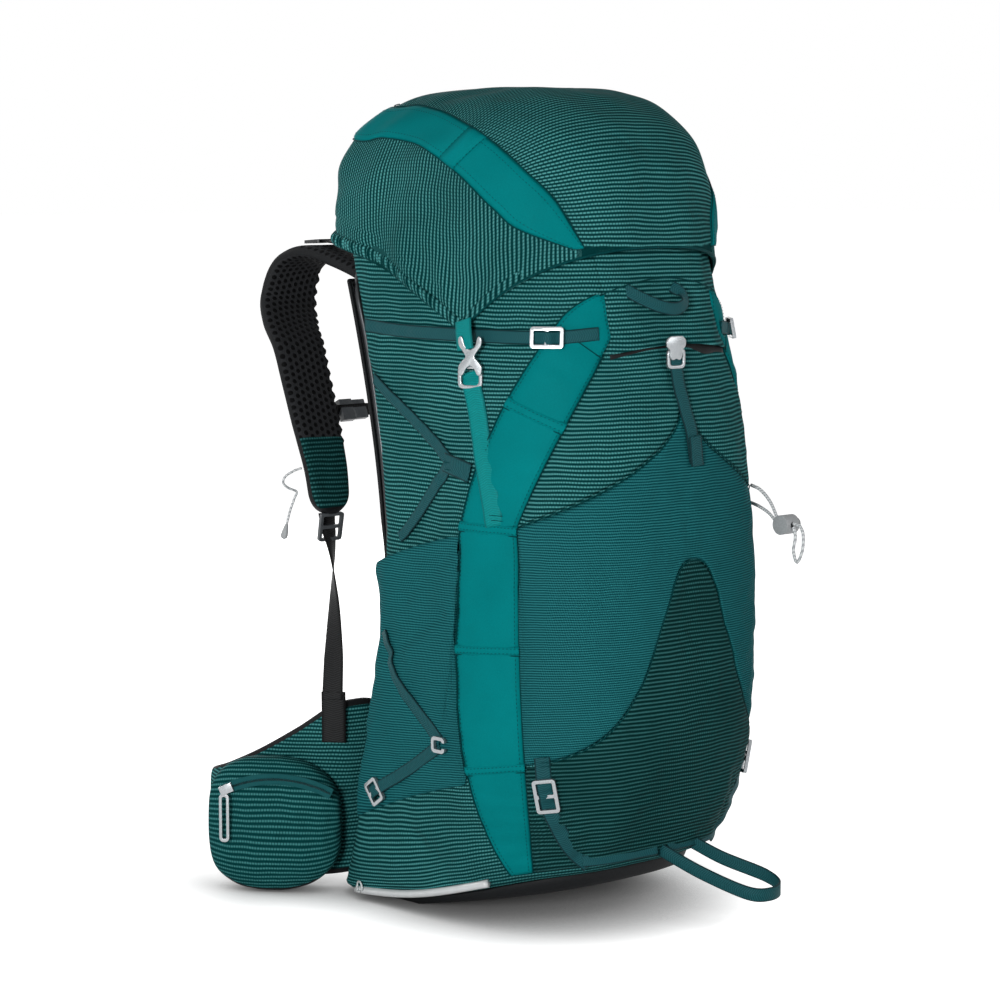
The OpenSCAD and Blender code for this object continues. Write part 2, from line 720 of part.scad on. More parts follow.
// Lumbar pad between the hip wings
wing_axis = [-96, 190];
lumbar_half = -wing_axis.x - wing_t / 2 - fit;
module lumbar_pad() {
    rows = 6;
    cols = 10;
    low = 66;
    high = 176;
    function at(i, j, k) =
        let (
            x = lumbar_half * (2 * j / cols - 1),
            z = blend(low, high, i / rows),
            base = skin(90, z, mesh_out + fit),
            crown = 3 * sin(180 * i / rows) * sin(180 * j / cols))
        [-x, base.y + k * (lumbar_t + crown), base.z];
    function grid(k) = [for (i = [0 : rows]) [for (j = [0 : cols]) at(i, j, k)]];
    color(black) sheet_solid(grid(1), grid(0));
}

// Shoulder strap: an arch sewn to the yoke and a long pad that hangs from its crest
pad_side = [-1, 0, 0];
harness_reach = 117.9;
crest = [-87, yoke_at(yoke_z) + harness_reach, yoke_z + 16];
arch_route = [
    [-56, yoke_at(yoke_z - 10) + pad_t / 2 + 4.5, yoke_z - 10],
    [-60, yoke_at(yoke_z + 16) + pad_t / 2 + 2.9, yoke_z + 16],
    crest + [19, -57, 19], crest + [11, -27, 24], crest + [5, -7, 15], crest];
pad_hang = [
    [-0.4, 0.5, -3.2], [-7, -3, -22], [-17, -18, -41], [-23, -38, -61.5], [-25, -51, -90],
    [-27, -63, -116], [-29, -75, -142], [-30, -85, -168], [-31, -91, -194], [-31, -94, -206]];
pad_route = [for (p = pad_hang) crest + p];
module shoulder_arch() {
    color(black) pad(arch_route, pad_w - 4, pad_t, pad_w - 10, pad_w, pad_side);
}
module shoulder_arch_left() { shoulder_arch(); }
module shoulder_arch_right() { mirror([1, 0, 0]) shoulder_arch(); }
module shoulder_pad() {
    color(black) pad(pad_route, pad_w - 6, pad_t, pad_w, pad_w - 20, pad_side, n = 2);
}
module shoulder_pad_left() { shoulder_pad(); }
module shoulder_pad_right() { mirror([1, 0, 0]) shoulder_pad(); }

// Load lifters from the top of the frame to the crest of each shoulder arch
lifter_lock = crest + [12, -29, 25 + pad_t / 2 + buckle_t / 2 + 1];
lifter_root = [-66, back_y(hoop_top_z) + hoop_off + hoop_d / 2 + fit, hoop_top_z];
module load_lifters() {
    color(black) both_sides() {
        ribbon([lifter_root, blend(lifter_root, lifter_lock, 0.5) + [0, 0, -1],
            lifter_lock + [0, -10 - fit, -0.6]], harness_web_w - 4, [1, 0, 0]);
        translate(lifter_lock) rotate([-4, 0, 0]) translate([0, 2, -buckle_t / 2])
            rotate([0, 0, 90]) ladder_lock(22, harness_web_w + 2 * bar - 2);
    }
}

// Ladder-locks at the foot of the shoulder pads and the webbing down to the belt
lock_l = 26;
lock_tilt = 10;
lock_out = [0, cos(lock_tilt), sin(lock_tilt)];
lock_down = [0, sin(lock_tilt), -cos(lock_tilt)];
lock_foot = pad_route[len(pad_route) - 1] + [0, -1, 0] + lock_down * (lock_l / 2 + fit);
module shoulder_locks() {
    color(grey) both_sides()
        translate(lock_foot) rotate([lock_tilt - 90, 0, 0]) translate([0, 0, -buckle_t / 2])
            rotate([0, 0, 90]) ladder_lock(lock_l, harness_web_w + 2 * bar);
}
module shoulder_webbing() {
    clear = lock_out * (buckle_t / 2 + fit + web_t / 2);
    top = lock_foot + clear + lock_down * 16;
    foot = [-116, 203, 186];
    path = [
        lock_foot + clear, top, blend(top, foot, 0.4) + [-1, -3, 0],
        blend(top, foot, 0.73) + [-1, -1, 0], foot];
    color(black) ribbon(path, harness_web_w, [-1, 0, 0]);
}
module shoulder_webbing_left() { shoulder_webbing(); }
module shoulder_webbing_right() { mirror([1, 0, 0]) shoulder_webbing(); }

// Elastic stow loop on the left shoulder pad, with its moulded end
stow_root = crest + [-52.5, -79, -166];
stow_route = [
    [0, 0, 0], [-6, 3, -2], [-14, 6, -7], [-15, 8, -13], [-9, 8, -18], [0, 8, -22], [-1, 10, -28],
    [-4, 13, -40], [-7, 14, -52]];
module stow_cord() {
    color(grey) {
        cord([for (p = stow_route) stow_root + p], cord_d - 0.4);
        translate(stow_root + stow_route[len(stow_route) - 1] + [-0.2, 0.1, -4.4])
            sphere(d = 8, $fn = 24);
    }
}

// Sternum strap: a slider on each pad, webbing and a side-release buckle
rail = unit(pad_route[6] - pad_route[4]);
rail_out = unit(cross(rail, pad_side));
chest = pad_route[5] + rail_out * (pad_t / 2 + fit);
slider_t = 4;
slider_l = 16;
sternum_y = chest.y + rail_out.y * slider_t / 2;
sternum_z = chest.z + rail_out.z * slider_t / 2;
chest_tilt = atan2(-rail_out.z, rail_out.y);
socket_x = -62;
buckle_l = 30;
module at_chest(x) {
    translate([x, sternum_y, sternum_z]) rotate([-chest_tilt, 0, 0]) children();
}
module sternum_sliders() {
    color(grey) both_sides()
        at_chest(chest.x + 4) difference() {
            cube([slider_w, slider_t, slider_l], center = true);
            translate([slider_w / 2 - 3, 0, 0]) cube([2.2, 2 * slider_t, slider_l - 4], center = true);
        }
}
slider_edge = chest.x + 4 + slider_w / 2;
module sternum_webbing() {
    short_l = socket_x - buckle_l / 2 - slider_edge - 2 * fit;
    long_l = -slider_edge - socket_x - buckle_l / 2 - 2 * fit;
    color(black) {
        at_chest(slider_edge + fit + short_l / 2) cube([short_l, web_t, slider_l - 2], center = true);
        at_chest(-slider_edge - fit - long_l / 2) cube([long_l, web_t, slider_l - 2], center = true);
    }
}
module sternum_socket() {
    color(grey)
        at_chest(socket_x - buckle_l / 4) difference() {
            cube([buckle_l / 2 - fit, 7, slider_l + 4], center = true);
            translate([4, 0, 0]) cube([buckle_l / 2, 3.4, slider_l - 2], center = true);
        }
}
module sternum_plug() {
    color(grey)
        at_chest(socket_x + buckle_l / 4) {
            cube([buckle_l / 2 - fit, 6, slider_l + 2], center = true);
            for (z = [-1, 1])
                translate([-buckle_l / 4 - 3, 0, z * 4]) cube([8, 2.6, 3], center = true);
        }
}

// Hip wing: a padded wall that sweeps out from the lumbar pad and round the waist
wing_route = [
    wing_axis, [-124, 198], [-146, 224], [-168, 250], [-190, 276], [-184, 303], [-158, 322]];
wing_low = [64, 30, 10, 8, 10, 18, 30];
wing_high = [172, 168, 150, 128, 116, 104, 92];
wing_end = wing_route[6];
module hip_wing() {
    p = spline([for (i = [0 : 6]) [wing_route[i].x, wing_route[i].y, wing_low[i], wing_high[i]]], 3);
    last = len(p) - 1;
    rings = concat(
        [for (c = [80, 45]) wing_ring(p, 0, -cos(90 - c), cos(c))],
        [for (i = [0 : last]) wing_ring(p, i, 0, i == last ? 0.6 : 1)]);
    color(black) ring_solid(rings);
}
function wing_ring(p, i, back, k) =
    let (
        after = p[min(i + 1, len(p) - 1)],
        before = p[max(i - 1, 0)],
        d = unit([after.x - before.x, after.y - before.y, 0]),
        out = cross([0, 0, 1], d) * wing_t / 2 * k,
        m = [p[i].x, p[i].y, 0] + d * back * wing_t / 2,
        low = p[i][2],
        high = p[i][3],
        e = 4)
    [m + out + [0, 0, low + e], m + out + [0, 0, high - e], m + out / 2 + [0, 0, high],
        m - out / 2 + [0, 0, high], m - out + [0, 0, high - e], m - out + [0, 0, low + e],
        m - out / 2 + [0, 0, low], m + out / 2 + [0, 0, low]];
module hip_wing_left() { hip_wing(); }
module hip_wing_right() { mirror([1, 0, 0]) hip_wing(); }

// Hip pocket: a rounded pouch on the straight of the wing, in a frame with X along the
// wing, Y out of it and Z up
pouch_along = unit(wing_route[4] - wing_route[1]);
pouch_mid = wing_route[1] / 2 + wing_route[4] / 2;
pouch_x = -6;
pouch_z = 10 + hip_pocket_h / 2;
pouch_in = wing_t / 2 + 1.7;
pouch_face = pouch_in + hip_pocket_d;
zip_mid_z = pouch_z + hip_pocket_h / 2 - 15 - hip_zip_r;
zip_swing = 24;
module at_pouch() {
    translate([pouch_mid.x, pouch_mid.y, 0])
        rotate([0, 0, atan2(pouch_along.y, pouch_along.x)]) children();
}
module hip_pocket() {
    layers = [[0, 4], [0.25, 0], [0.7, 1.5], [0.92, 5], [1, 10]];
    corner = 5;
    rings = [for (l = layers) [
        for (j = [0 : 27])
            let (
                a = -360 * j / 28,
                c = cos(a),
                s = sin(a),
                r = pow(pow(abs(c), corner) + pow(abs(s), corner), -1 / corner))
            [pouch_x + r * c * (hip_pocket_l / 2 - l[1]), pouch_in + hip_pocket_d * l[0],
                pouch_z + r * s * (hip_pocket_h / 2 - l[1])]]];
    color(teal) at_pouch() ring_solid(rings);
}
module hip_pocket_left() { hip_pocket(); }
module hip_pocket_right() { mirror([1, 0, 0]) hip_pocket(); }

// Curved zip tape on the face of the hip pocket
module hip_zip() {
    sweep = 2 * zip_swing + 6;
    color(web_teal)
        at_pouch() translate([pouch_x, pouch_face + fit, zip_mid_z]) rotate([90, 0, 0])
            rotate([0, 0, 90 - sweep / 2]) translate([0, 0, -panel_t])
                rotate_extrude(angle = sweep, $fn = 96)
                    translate([hip_zip_r - hip_zip_w / 2, 0]) square([hip_zip_w, panel_t]);
}
module hip_zip_left() { hip_zip(); }
module hip_zip_right() { mirror([1, 0, 0]) hip_zip(); }

// Zip slider at the far end of its tape, with a cord pull hanging from it
module hip_zip_pull() {
    slider_y = pouch_face + fit + panel_t + fit;
    color(silver) at_pouch() translate([pouch_x, slider_y, zip_mid_z]) {
        rotate([0, zip_swing, 0]) translate([0, 2, hip_zip_r]) cube([12, 4, 8], center = true);
        pull_x = hip_zip_r * sin(zip_swing) + 2;
        pull_z = hip_zip_r * cos(zip_swing) - 4;
        translate([pull_x, 2.5, pull_z - 22]) rotate([90, 0, 0])
            linear_extrude(2.4, center = true) difference() {
                round_rect(9, 44, 4);
                round_rect(4, 38, 1.8);
            }
    }
}
module hip_zip_pull_left() { hip_zip_pull(); }
module hip_zip_pull_right() { mirror([1, 0, 0]) hip_zip_pull(); }

// Hip buckle halves with the webbing that leaves each wing's end
belt_along = unit([wing_end.x - wing_route[5].x, wing_end.y - wing_route[5].y, 0]);
belt_w = 26;
module at_belt(d) {
    translate([wing_end.x, wing_end.y, (wing_low[6] + wing_high[6]) / 2] + belt_along * d)
        rotate([0, 0, atan2(belt_along.y, belt_along.x)]) children();
}
module belt_tail() {
    at_belt(20 + 0.3) cube([40, web_t, belt_w], center = true);
}
module hip_buckle_socket() {
    color(black) {
        belt_tail();
        at_belt(55) difference() {
            cube([34, 10, belt_w + 14], center = true);
            translate([8, 0, 0]) cube([34, 5.4, belt_w + 4], center = true);
        }
    }
}
module hip_buckle_plug() {
    color(black) mirror([1, 0, 0]) {
        belt_tail();
        at_belt(49) cube([20, 8, belt_w + 10], center = true);
        for (z = [-1, 0, 1])
            at_belt(69) translate([0, 0, z * 10]) cube([24, 4.2, 5], center = true);
    }
}

// Lid: a hollow dome whose hem dips to a point at each side
module lid_shell() {
    t_of = function(i) 0.985 * (lid_rows - i) / lid_rows;
    function rings(off) = [
        for (i = [0 : lid_rows]) [for (j = [0 : columns - 1]) lid_skin(-j * step, t_of(i), off)]];
    color(teal)
        cup_solid(rings(0), rings(-lid_wall), [0, lid_mid_y + lid_lean, lid_top],
            [0, lid_mid_y + lid_lean, lid_top - lid_wall]);
}

// Cloth hinge that joins the back of the bag to the lid just above its rear hem
hinge_w = 120;
module lid_hinge() {
    hinge_z = lid_hem_back + 4;
    front_edge = back_y(hinge_z + web_t) + fit;
    rear_edge = lid_back - lid_wall - fit;
    color(black)
        translate([-hinge_w / 2, front_edge, hinge_z]) cube([hinge_w, rear_edge - front_edge, web_t]);
}

// Light bands that sweep from the back of the crown to the front hem, and the tabs at the
// side points that carry the buckles
band_outer = [[150, 688], [172, 681], [192, 668], [210, 646], [222, 619], [230, 597], [239, 581]];
band_inner = [[150, 704], [174, 700], [198, 693], [216, 676], [228, 650], [237, 618], [245, 584]];
lid_tab_top = lid_ring(214, lid_hem_tip + 12, 2.2);
lid_tab_low = skin(lid_strap_a, frame_z + frame_l / 2 + 20, buckle_in + buckle_t / 2) + [0, 0, 4];
module lid_bands() {
    cols = 3;
    outer = spline(band_outer, 2);
    inner = spline(band_inner, 2);
    function grid(off) = [
        for (i = [0 : cols]) [for (j = [0 : len(outer) - 1])
            let (p = blend(outer[j], inner[j], i / cols)) lid_ring(p[0], p[1], off)]];
    color(light_teal) both_sides() {
        sheet_solid(grid(panel_out), grid(panel_in));
        ribbon([lid_tab_top, blend(lid_tab_top, lid_tab_low, 0.5), lid_tab_low], lid_web_w - 2, [0, -1, 0]);
    }
}

// Zip of the lid's pocket, across the back of its skirt
lid_zip_z = lid_hem_back + 26;
lid_zip_y = lid_ring(90, lid_zip_z - lid_zip_w / 2, fit).y;
lid_zip_l = 150;
module lid_zip() {
    color(black)
        translate([0, lid_zip_y + panel_t / 2, lid_zip_z])
            cube([lid_zip_l, panel_t, lid_zip_w], center = true);
}

// Hooked upper halves of the lid buckles, outside the frames they catch
module lid_buckle_prongs() {
    color(silver) both_sides()
        on_skin(lid_strap_a, frame_z, buckle_in + buckle_t + fit) {
            linear_extrude(buckle_t) difference() {
                union() {
                    translate([-20, 0]) round_rect(12, frame_w, 3);
                    translate([-12, 0]) round_rect(18, 9, 3);
                    translate([-4, 0]) round_rect(9, frame_w, 3);
                }
                translate([-21, 0]) round_rect(5, frame_w - 2 * bar, 1.5);
            }
        }
}

module lid_zip_pull() {
    color(silver)
        translate([-lid_zip_l / 2 + 12, lid_zip_y + panel_t + fit + 2, lid_zip_z]) {
            cube([12, 4, 9], center = true);
            translate([0, 1.4, -16]) rotate([90, 0, 0]) linear_extrude(2, center = true) difference() {
                round_rect(8, 26, 3);
                round_rect(4, 21, 1.5);
            }
        }
}

packbag();
base_panel();
gusset_left();
gusset_right();
front_panel();
front_pocket();
bell_panel();
side_pocket_left();
side_pocket_right();
side_strap_left();
side_strap_right();
side_locks();
lid_strap_left();
lid_strap_right();
lid_buckle_frames();
pad_strap_left();
pad_strap_right();
pad_locks();
pocket_strap();
pocket_buckle();
ice_axe_loop();
grab_loop();
tie_cord();
tie_cord_lock();
tie_cord_button();
pole_loop();
frame_hoop();
back_mesh();
yoke_plate();
haul_loop();
lumbar_pad();
shoulder_arch_left();
shoulder_arch_right();
load_lifters();
shoulder_pad_left();
shoulder_pad_right();
shoulder_locks();
shoulder_webbing_left();
shoulder_webbing_right();
stow_cord();
sternum_webbing();
sternum_sliders();
sternum_socket();
sternum_plug();
hip_wing_left();
hip_wing_right();
hip_pocket_left();
hip_pocket_right();
hip_zip_left();
hip_zip_right();
hip_zip_pull_left();
hip_zip_pull_right();
hip_buckle_socket();
hip_buckle_plug();
lid_hinge();
lid_shell();
lid_bands();
lid_zip();
lid_buckle_prongs();
lid_zip_pull();
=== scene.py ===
import math

import bmesh
import bpy
import numpy as np
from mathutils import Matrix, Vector


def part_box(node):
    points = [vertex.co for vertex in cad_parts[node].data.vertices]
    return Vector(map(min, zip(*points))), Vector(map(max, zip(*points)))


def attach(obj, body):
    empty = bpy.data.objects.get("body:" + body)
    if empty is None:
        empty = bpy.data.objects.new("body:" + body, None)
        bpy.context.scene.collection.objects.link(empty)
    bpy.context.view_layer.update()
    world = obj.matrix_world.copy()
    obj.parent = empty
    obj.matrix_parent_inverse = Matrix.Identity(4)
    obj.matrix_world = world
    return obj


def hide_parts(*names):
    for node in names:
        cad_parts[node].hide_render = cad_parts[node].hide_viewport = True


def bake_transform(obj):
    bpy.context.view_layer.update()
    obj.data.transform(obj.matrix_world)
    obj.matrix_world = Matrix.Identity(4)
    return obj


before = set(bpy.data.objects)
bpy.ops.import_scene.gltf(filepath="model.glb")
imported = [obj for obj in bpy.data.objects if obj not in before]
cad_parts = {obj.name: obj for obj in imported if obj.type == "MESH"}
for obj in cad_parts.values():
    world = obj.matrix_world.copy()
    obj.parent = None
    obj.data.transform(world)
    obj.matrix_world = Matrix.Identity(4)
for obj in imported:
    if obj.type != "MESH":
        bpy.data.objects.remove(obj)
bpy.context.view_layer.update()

# Studio: a white paper sweep under soft light, and the camera of the product photograph.
# The paper and the air glow only where they are seen, so that they print white and the paper still
# takes a shadow.
scene = bpy.context.scene
scene.view_settings.view_transform = "Standard"


def srgb(code):
    parts = [int(code[i : i + 2], 16) / 255 for i in (1, 3, 5)]
    line = [c / 12.92 if c <= 0.04045 else ((c + 0.055) / 1.055) ** 2.4 for c in parts]
    return (*line, 1.0)


def add(tree, kind, inputs=None, **settings):
    made = tree.nodes.new(kind)
    for key, value in settings.items():
        setattr(made, key, value)
    for key, value in (inputs or {}).items():
        if isinstance(value, bpy.types.NodeSocket):
            tree.links.new(value, made.inputs[key])
        else:
            made.inputs[key].default_value = value
    return made


def blank_material(name):
    made = bpy.data.materials.new(name)
    made.use_nodes = True
    made.node_tree.nodes.clear()
    return made, made.node_tree


def seen_white(tree):
    rays = add(tree, "ShaderNodeLightPath")
    mirrored = add(tree, "ShaderNodeMath", {0: rays.outputs["Is Camera Ray"],
        1: rays.outputs["Is Glossy Ray"]}, operation="MAXIMUM")
    through = add(tree, "ShaderNodeMath", {0: mirrored.outputs[0], 1: rays.outputs["Is Transmission Ray"]},
        operation="MAXIMUM")
    return through.outputs[0]


# White paper: matt and even. Close to the pack an occlusion term darkens its colour and its glow,
# as a painted contact shadow where less light reaches it.
paper, tree = blank_material("white paper sweep")
nearby = add(tree, "ShaderNodeAmbientOcclusion", {"Distance": 0.075}, samples=8)
open_air = add(tree, "ShaderNodeMath", {0: nearby.outputs["AO"], 1: 1.4}, operation="POWER")
painted_shadow_tint = add(tree, "ShaderNodeMix", {0: open_air.outputs[0], 6: srgb("#8C8C8C"), 7: srgb("#F4F4F4")},
    data_type="RGBA")
matt = add(tree, "ShaderNodeBsdfDiffuse", {"Color": painted_shadow_tint.outputs[2]})
shaded = add(tree, "ShaderNodeMath", {0: seen_white(tree), 1: open_air.outputs[0]}, operation="MULTIPLY")
lift = add(tree, "ShaderNodeMath", {0: shaded.outputs[0], 1: 0.98}, operation="MULTIPLY")
glow = add(tree, "ShaderNodeEmission", {"Color": srgb("#FFFFFF"), "Strength": lift.outputs[0]})
both = add(tree, "ShaderNodeAddShader", {0: matt.outputs[0], 1: glow.outputs[0]})
add(tree, "ShaderNodeOutputMaterial", {"Surface": both.outputs[0]})

floor_mesh = bpy.data.meshes.new("floor")
floor_mesh.from_pydata([(-30, -30, 0), (30, -30, 0), (30, 30, 0), (-30, 30, 0)], [], [(0, 1, 2, 3)])
floor = bpy.data.objects.new("floor", floor_mesh)
floor.data.materials.append(paper)
scene.collection.objects.link(floor)

world = bpy.data.worlds.new("studio")
scene.world = world
world.use_nodes = True
tree = world.node_tree
tree.nodes.clear()
place = add(tree, "ShaderNodeTexCoord")
height = add(tree, "ShaderNodeSeparateXYZ", {0: place.outputs["Generated"]})
soft_level = add(tree, "ShaderNodeMapRange", {"Value": height.outputs["Z"], "From Min": 0.05,
    "From Max": 0.7, "To Min": 0.40, "To Max": 0.02})
strength = add(tree, "ShaderNodeMapRange", {"Value": seen_white(tree), "To Min": soft_level.outputs[0],
    "To Max": 1.0})
sky = add(tree, "ShaderNodeBackground", {"Color": srgb("#FFFFFF"), "Strength": strength.outputs[0]})
add(tree, "ShaderNodeOutputWorld", {"Surface": sky.outputs[0]})


def soft_box(name, place, target, size, watts):
    lamp = bpy.data.lights.new(name, "AREA")
    lamp.shape = "DISK"
    lamp.size = size
    lamp.energy = watts
    made = bpy.data.objects.new(name, lamp)
    made.location = place
    made.rotation_euler = (Vector(target) - Vector(place)).to_track_quat("-Z", "Y").to_euler()
    scene.collection.objects.link(made)


soft_box("key light", (-2.55, -1.55, 0.85), (0, 0, 0.4), 0.6, 57)
soft_box("side fill", (1.2, -2.5, 1.0), (0, 0, 0.35), 1.2, 12)
soft_box("rim light", (-1.4, 1.8, 1.7), (-0.1, 0.15, 0.35), 1.0, 9)
soft_box("back fill", (0.9, 2.4, 0.8), (0, 0.1, 0.35), 1.4, 24)

lens = bpy.data.cameras.new("camera")
lens.sensor_width = 36
lens.lens = 100.7
lens.clip_end = 100
camera = bpy.data.objects.new("camera", lens)
camera.location = (-1.6714, -1.7420, 0.6477)
camera.rotation_euler = (math.radians(83.2), 0, math.radians(-42))
scene.collection.objects.link(camera)
scene.camera = camera

# Tie cord: two runs of round grey elastic come out of the right gusset, pass through a sprung
# cord lock and hang as one loop. The braid is drawn coarser than the real one so that it shows.
MM = 0.001


def per_metre(size):
    # How many grains of a size in millimetres go to a metre, which is how a noise takes its scale.
    return 1 / (size * MM)


def elastic_braid(name, dark, pale):
    # Braided elastic: slanting ridges, pale on top and grey between, with a soft bloom. At this scale
    # of the wave the ridges lie about 2.3 mm apart.
    made, tree = blank_material(name)
    place = add(tree, "ShaderNodeTexCoord")
    weave = add(tree, "ShaderNodeTexWave", {"Vector": place.outputs["Object"], "Scale": 160,
        "Distortion": 1.5, "Detail": 1}, bands_direction="DIAGONAL")
    shade = add(tree, "ShaderNodeMix", {0: weave.outputs["Fac"], 6: srgb(dark), 7: srgb(pale)},
        data_type="RGBA")
    lump = add(tree, "ShaderNodeBump", {"Height": weave.outputs["Fac"], "Distance": 0.4 * MM,
        "Strength": 0.6})
    cloth = add(tree, "ShaderNodeBsdfPrincipled", {"Base Color": shade.outputs[2],
        "Normal": lump.outputs[0], "Roughness": 0.7, "Sheen Weight": 0.2})
    add(tree, "ShaderNodeOutputMaterial", {"Surface": cloth.outputs[0]})
    return made


def cord_curve(name, points, diameter, material):
    line = bpy.data.curves.new(name, "CURVE")
    line.dimensions = "3D"
    line.bevel_depth = diameter / 2 * MM
    line.bevel_resolution = 3
    line.use_fill_caps = True
    run = line.splines.new("POLY")
    run.points.add(len(points) - 1)
    for knot, p in zip(run.points, points):
        knot.co = (p[0] * MM, p[1] * MM, p[2] * MM, 1)
    made = bpy.data.objects.new(name, line)
    made.data.materials.append(material)
    scene.collection.objects.link(made)
    return made


def arc_length(line):
    return np.concatenate([[0], np.cumsum(np.linalg.norm(np.diff(line, axis=0), axis=1))])


def smooth_path(points, count):
    p = np.array(points, float)
    p = np.vstack([2 * p[0] - p[1], p, 2 * p[-1] - p[-2]])
    spans = len(points) - 1
    out = []
    for t in np.linspace(0, spans, count):
        i = min(int(t), spans - 1)
        k = t - i
        a, b, c, d = p[i : i + 4]
        low_powers = 2 * b + (c - a) * k + (2 * a - 5 * b + 4 * c - d) * k**2
        out.append(0.5 * (low_powers + (3 * b - a - 3 * c + d) * k**3))
    return np.array(out)


cord_grey = elastic_braid("grey elastic braid", "#A9ADB0", "#E6E8E9")
TIE_D = 3.0
lock_at = np.array([114, -128, 341.0])
tie_routes = [
    ("tie_cord_upper", [[113, -87, 372], [116, -96, 368], [116, -108, 358], lock_at + [0, 8.6, 1.5]],
        "taut"),
    ("tie_cord_lower", [[119, -80, 356], [119, -92, 353], [117, -106, 348], lock_at + [0, 8.6, -1.5]],
        "taut"),
    ("tie_cord_tail", [lock_at + [0, -8.6, 1.6], lock_at + [0, -16, 0], lock_at + [0, -20, -8],
        lock_at + [1, -18, -22], lock_at + [1, -12, -32], lock_at + [1, -8, -22], lock_at + [0, -11, -10],
        lock_at + [0, -8.6, -1.6]], "hanging"),
]
for name, route, lay in tie_routes:
    points = smooth_path(route, 24)
    tie = cord_curve(name, points, TIE_D, cord_grey)
    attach(tie, "pack")
    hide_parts("tie_cord")

# Stow cord: a thin elastic cord on the lower outer edge of the left shoulder pad, which ends in a
# moulded drop that the fingers pull.
STOW_D = 2.2
stow_root = np.array([-139.5, 224, 380.0])
stow_route = stow_root + np.array([[0, 0, 0], [-6, 3, -2], [-14, 6, -7], [-15, 8, -13], [-9, 8, -18],
    [0, 8, -22], [-1, 10, -28], [-4, 13, -40], [-7, 14, -52]])
points = smooth_path(stow_route, 34)
stow = cord_curve("stow_cord_line", points, STOW_D, cord_grey)
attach(stow, "harness")
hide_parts("stow_cord")

# Moulded acetal: a smooth grey plastic with fine pits and a soft shine. The pits are drawn coarser than
# the real ones so that they show.
moulded_grey, tree = blank_material("grey moulded acetal")
place = add(tree, "ShaderNodeTexCoord")
grain = add(tree, "ShaderNodeTexNoise", {"Vector": place.outputs["Object"], "Scale": per_metre(1.11),
    "Detail": 3})
tone = add(tree, "ShaderNodeMix", {0: grain.outputs["Fac"], 6: srgb("#8E9193"), 7: srgb("#B4B7B9")},
    data_type="RGBA")
pits = add(tree, "ShaderNodeBump", {"Height": grain.outputs["Fac"], "Distance": 0.1 * MM, "Strength": 0.4})
plastic = add(tree, "ShaderNodeBsdfPrincipled", {"Base Color": tone.outputs[2], "Normal": pits.outputs[0],
    "Roughness": 0.42, "IOR": 1.48})
add(tree, "ShaderNodeOutputMaterial", {"Surface": plastic.outputs[0]})


def mesh_piece(name, verts, faces, material, uv=None):
    data = bpy.data.meshes.new(name)
    data.from_pydata([tuple(v) for v in np.asarray(verts, float) * MM], [], [tuple(f) for f in faces])
    data.materials.append(material)
    if uv is not None:
        layer = data.uv_layers.new(name="cloth")
        index = np.zeros(len(data.loops), int)
        data.loops.foreach_get("vertex_index", index)
        layer.data.foreach_set("uv", np.asarray(uv, np.float32)[index].ravel())
    data.polygons.foreach_set("use_smooth", [True] * len(data.polygons))
    made = bpy.data.objects.new(name, data)
    scene.collection.objects.link(made)
    return made


def ring_mesh(rings):
    m, k = len(rings), len(rings[0])
    verts = [p for ring in rings for p in ring]
    faces = []
    for i in range(m - 1):
        for j in range(k):
            a, b = i * k + j, i * k + (j + 1) % k
            c, d = (i + 1) * k + (j + 1) % k, (i + 1) * k + j
            faces.append((a, b, c, d))
    faces.append(tuple(range(k))[::-1])
    faces.append(tuple((m - 1) * k + j for j in range(k)))
    return verts, faces


# The drop is turned about the cord's last stretch.
drop_profile = [(0, 0.9), (1, 1.6), (4, 2.4), (8, 3.4), (11, 3.8), (13, 3.2), (14.2, 1.6), (14.6, 0.3)]
aim = points[-1] - points[-4]
aim = aim / np.linalg.norm(aim)
side = np.cross(aim, [1, 0, 0])
side = side / np.linalg.norm(side)
lift = np.cross(aim, side)
rings = []
for along, radius in drop_profile:
    centre = points[-1] + aim * (along - 1.5)
    rings.append([centre + radius * (side * math.cos(t) + 0.8 * lift * math.sin(t))
        for t in np.linspace(0, math.tau, 20, endpoint=False)])
drop = mesh_piece("stow_cord_drop", *ring_mesh(rings), moulded_grey)
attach(drop, "harness")

# Bag: ripstop nylon woven with rows of short pale dashes, cut and sewn to a tall rounded shell that
# leans out at the base and the shoulders. Heights and angles are those of the sewn pattern: angle 270
# is the middle of the front, 90 the middle of the back, and heights are in millimetres.


def back_y(z):
    u = (z - 310) / 300
    return 127 + np.where(u > 0, 72, 60) * np.abs(u) ** 1.55


def front_y(z):
    over = np.maximum(z - 250, 0) / 360
    under = np.maximum(250 - z, 0) / 242
    return -128 + 62 * over**2.2 + 46 * under**3.2


def half_w(z):
    over = np.maximum(z - 160, 0) / 450
    under = np.maximum(160 - z, 0) / 152
    return 147 - 17 * over**1.2 - 15 * under**2.5


def outline(angle, hw, yb, yf, depth, off, power):
    c, s = np.cos(np.radians(angle)), np.sin(np.radians(angle))
    yc = yb - depth
    n = np.where(s >= 0, power, 2.75)
    d = np.where(s >= 0, depth + off, yc - yf + off)
    r = (np.abs(c / (hw + off)) ** n + np.abs(s / d) ** n) ** (-1 / n)
    return r * c, yc + r * s


# A full turn in radians, as near as folds need it.
FULL_TURN = 6.28


def rumple(x, y, size, seed, count=7):
    dice = np.random.default_rng(seed)
    total = 0
    for _ in range(count):
        turn = dice.uniform(0, FULL_TURN)
        shift = dice.uniform(0, FULL_TURN)
        wave = size * dice.uniform(0.6, 1.6)
        total = total + np.sin(FULL_TURN * (x * math.cos(turn) + y * math.sin(turn)) / wave + shift)
    return total / (1.4 * math.sqrt(count))


# Lines where the straps press the cloth in, each from one angle and height to another.
STRAP_PRESS = [(158, 510, 216, 508), (155, 462, 184, 414), (184, 388, 166, 340), (158, 240, 186, 166),
    (188, 140, 176, 118)]

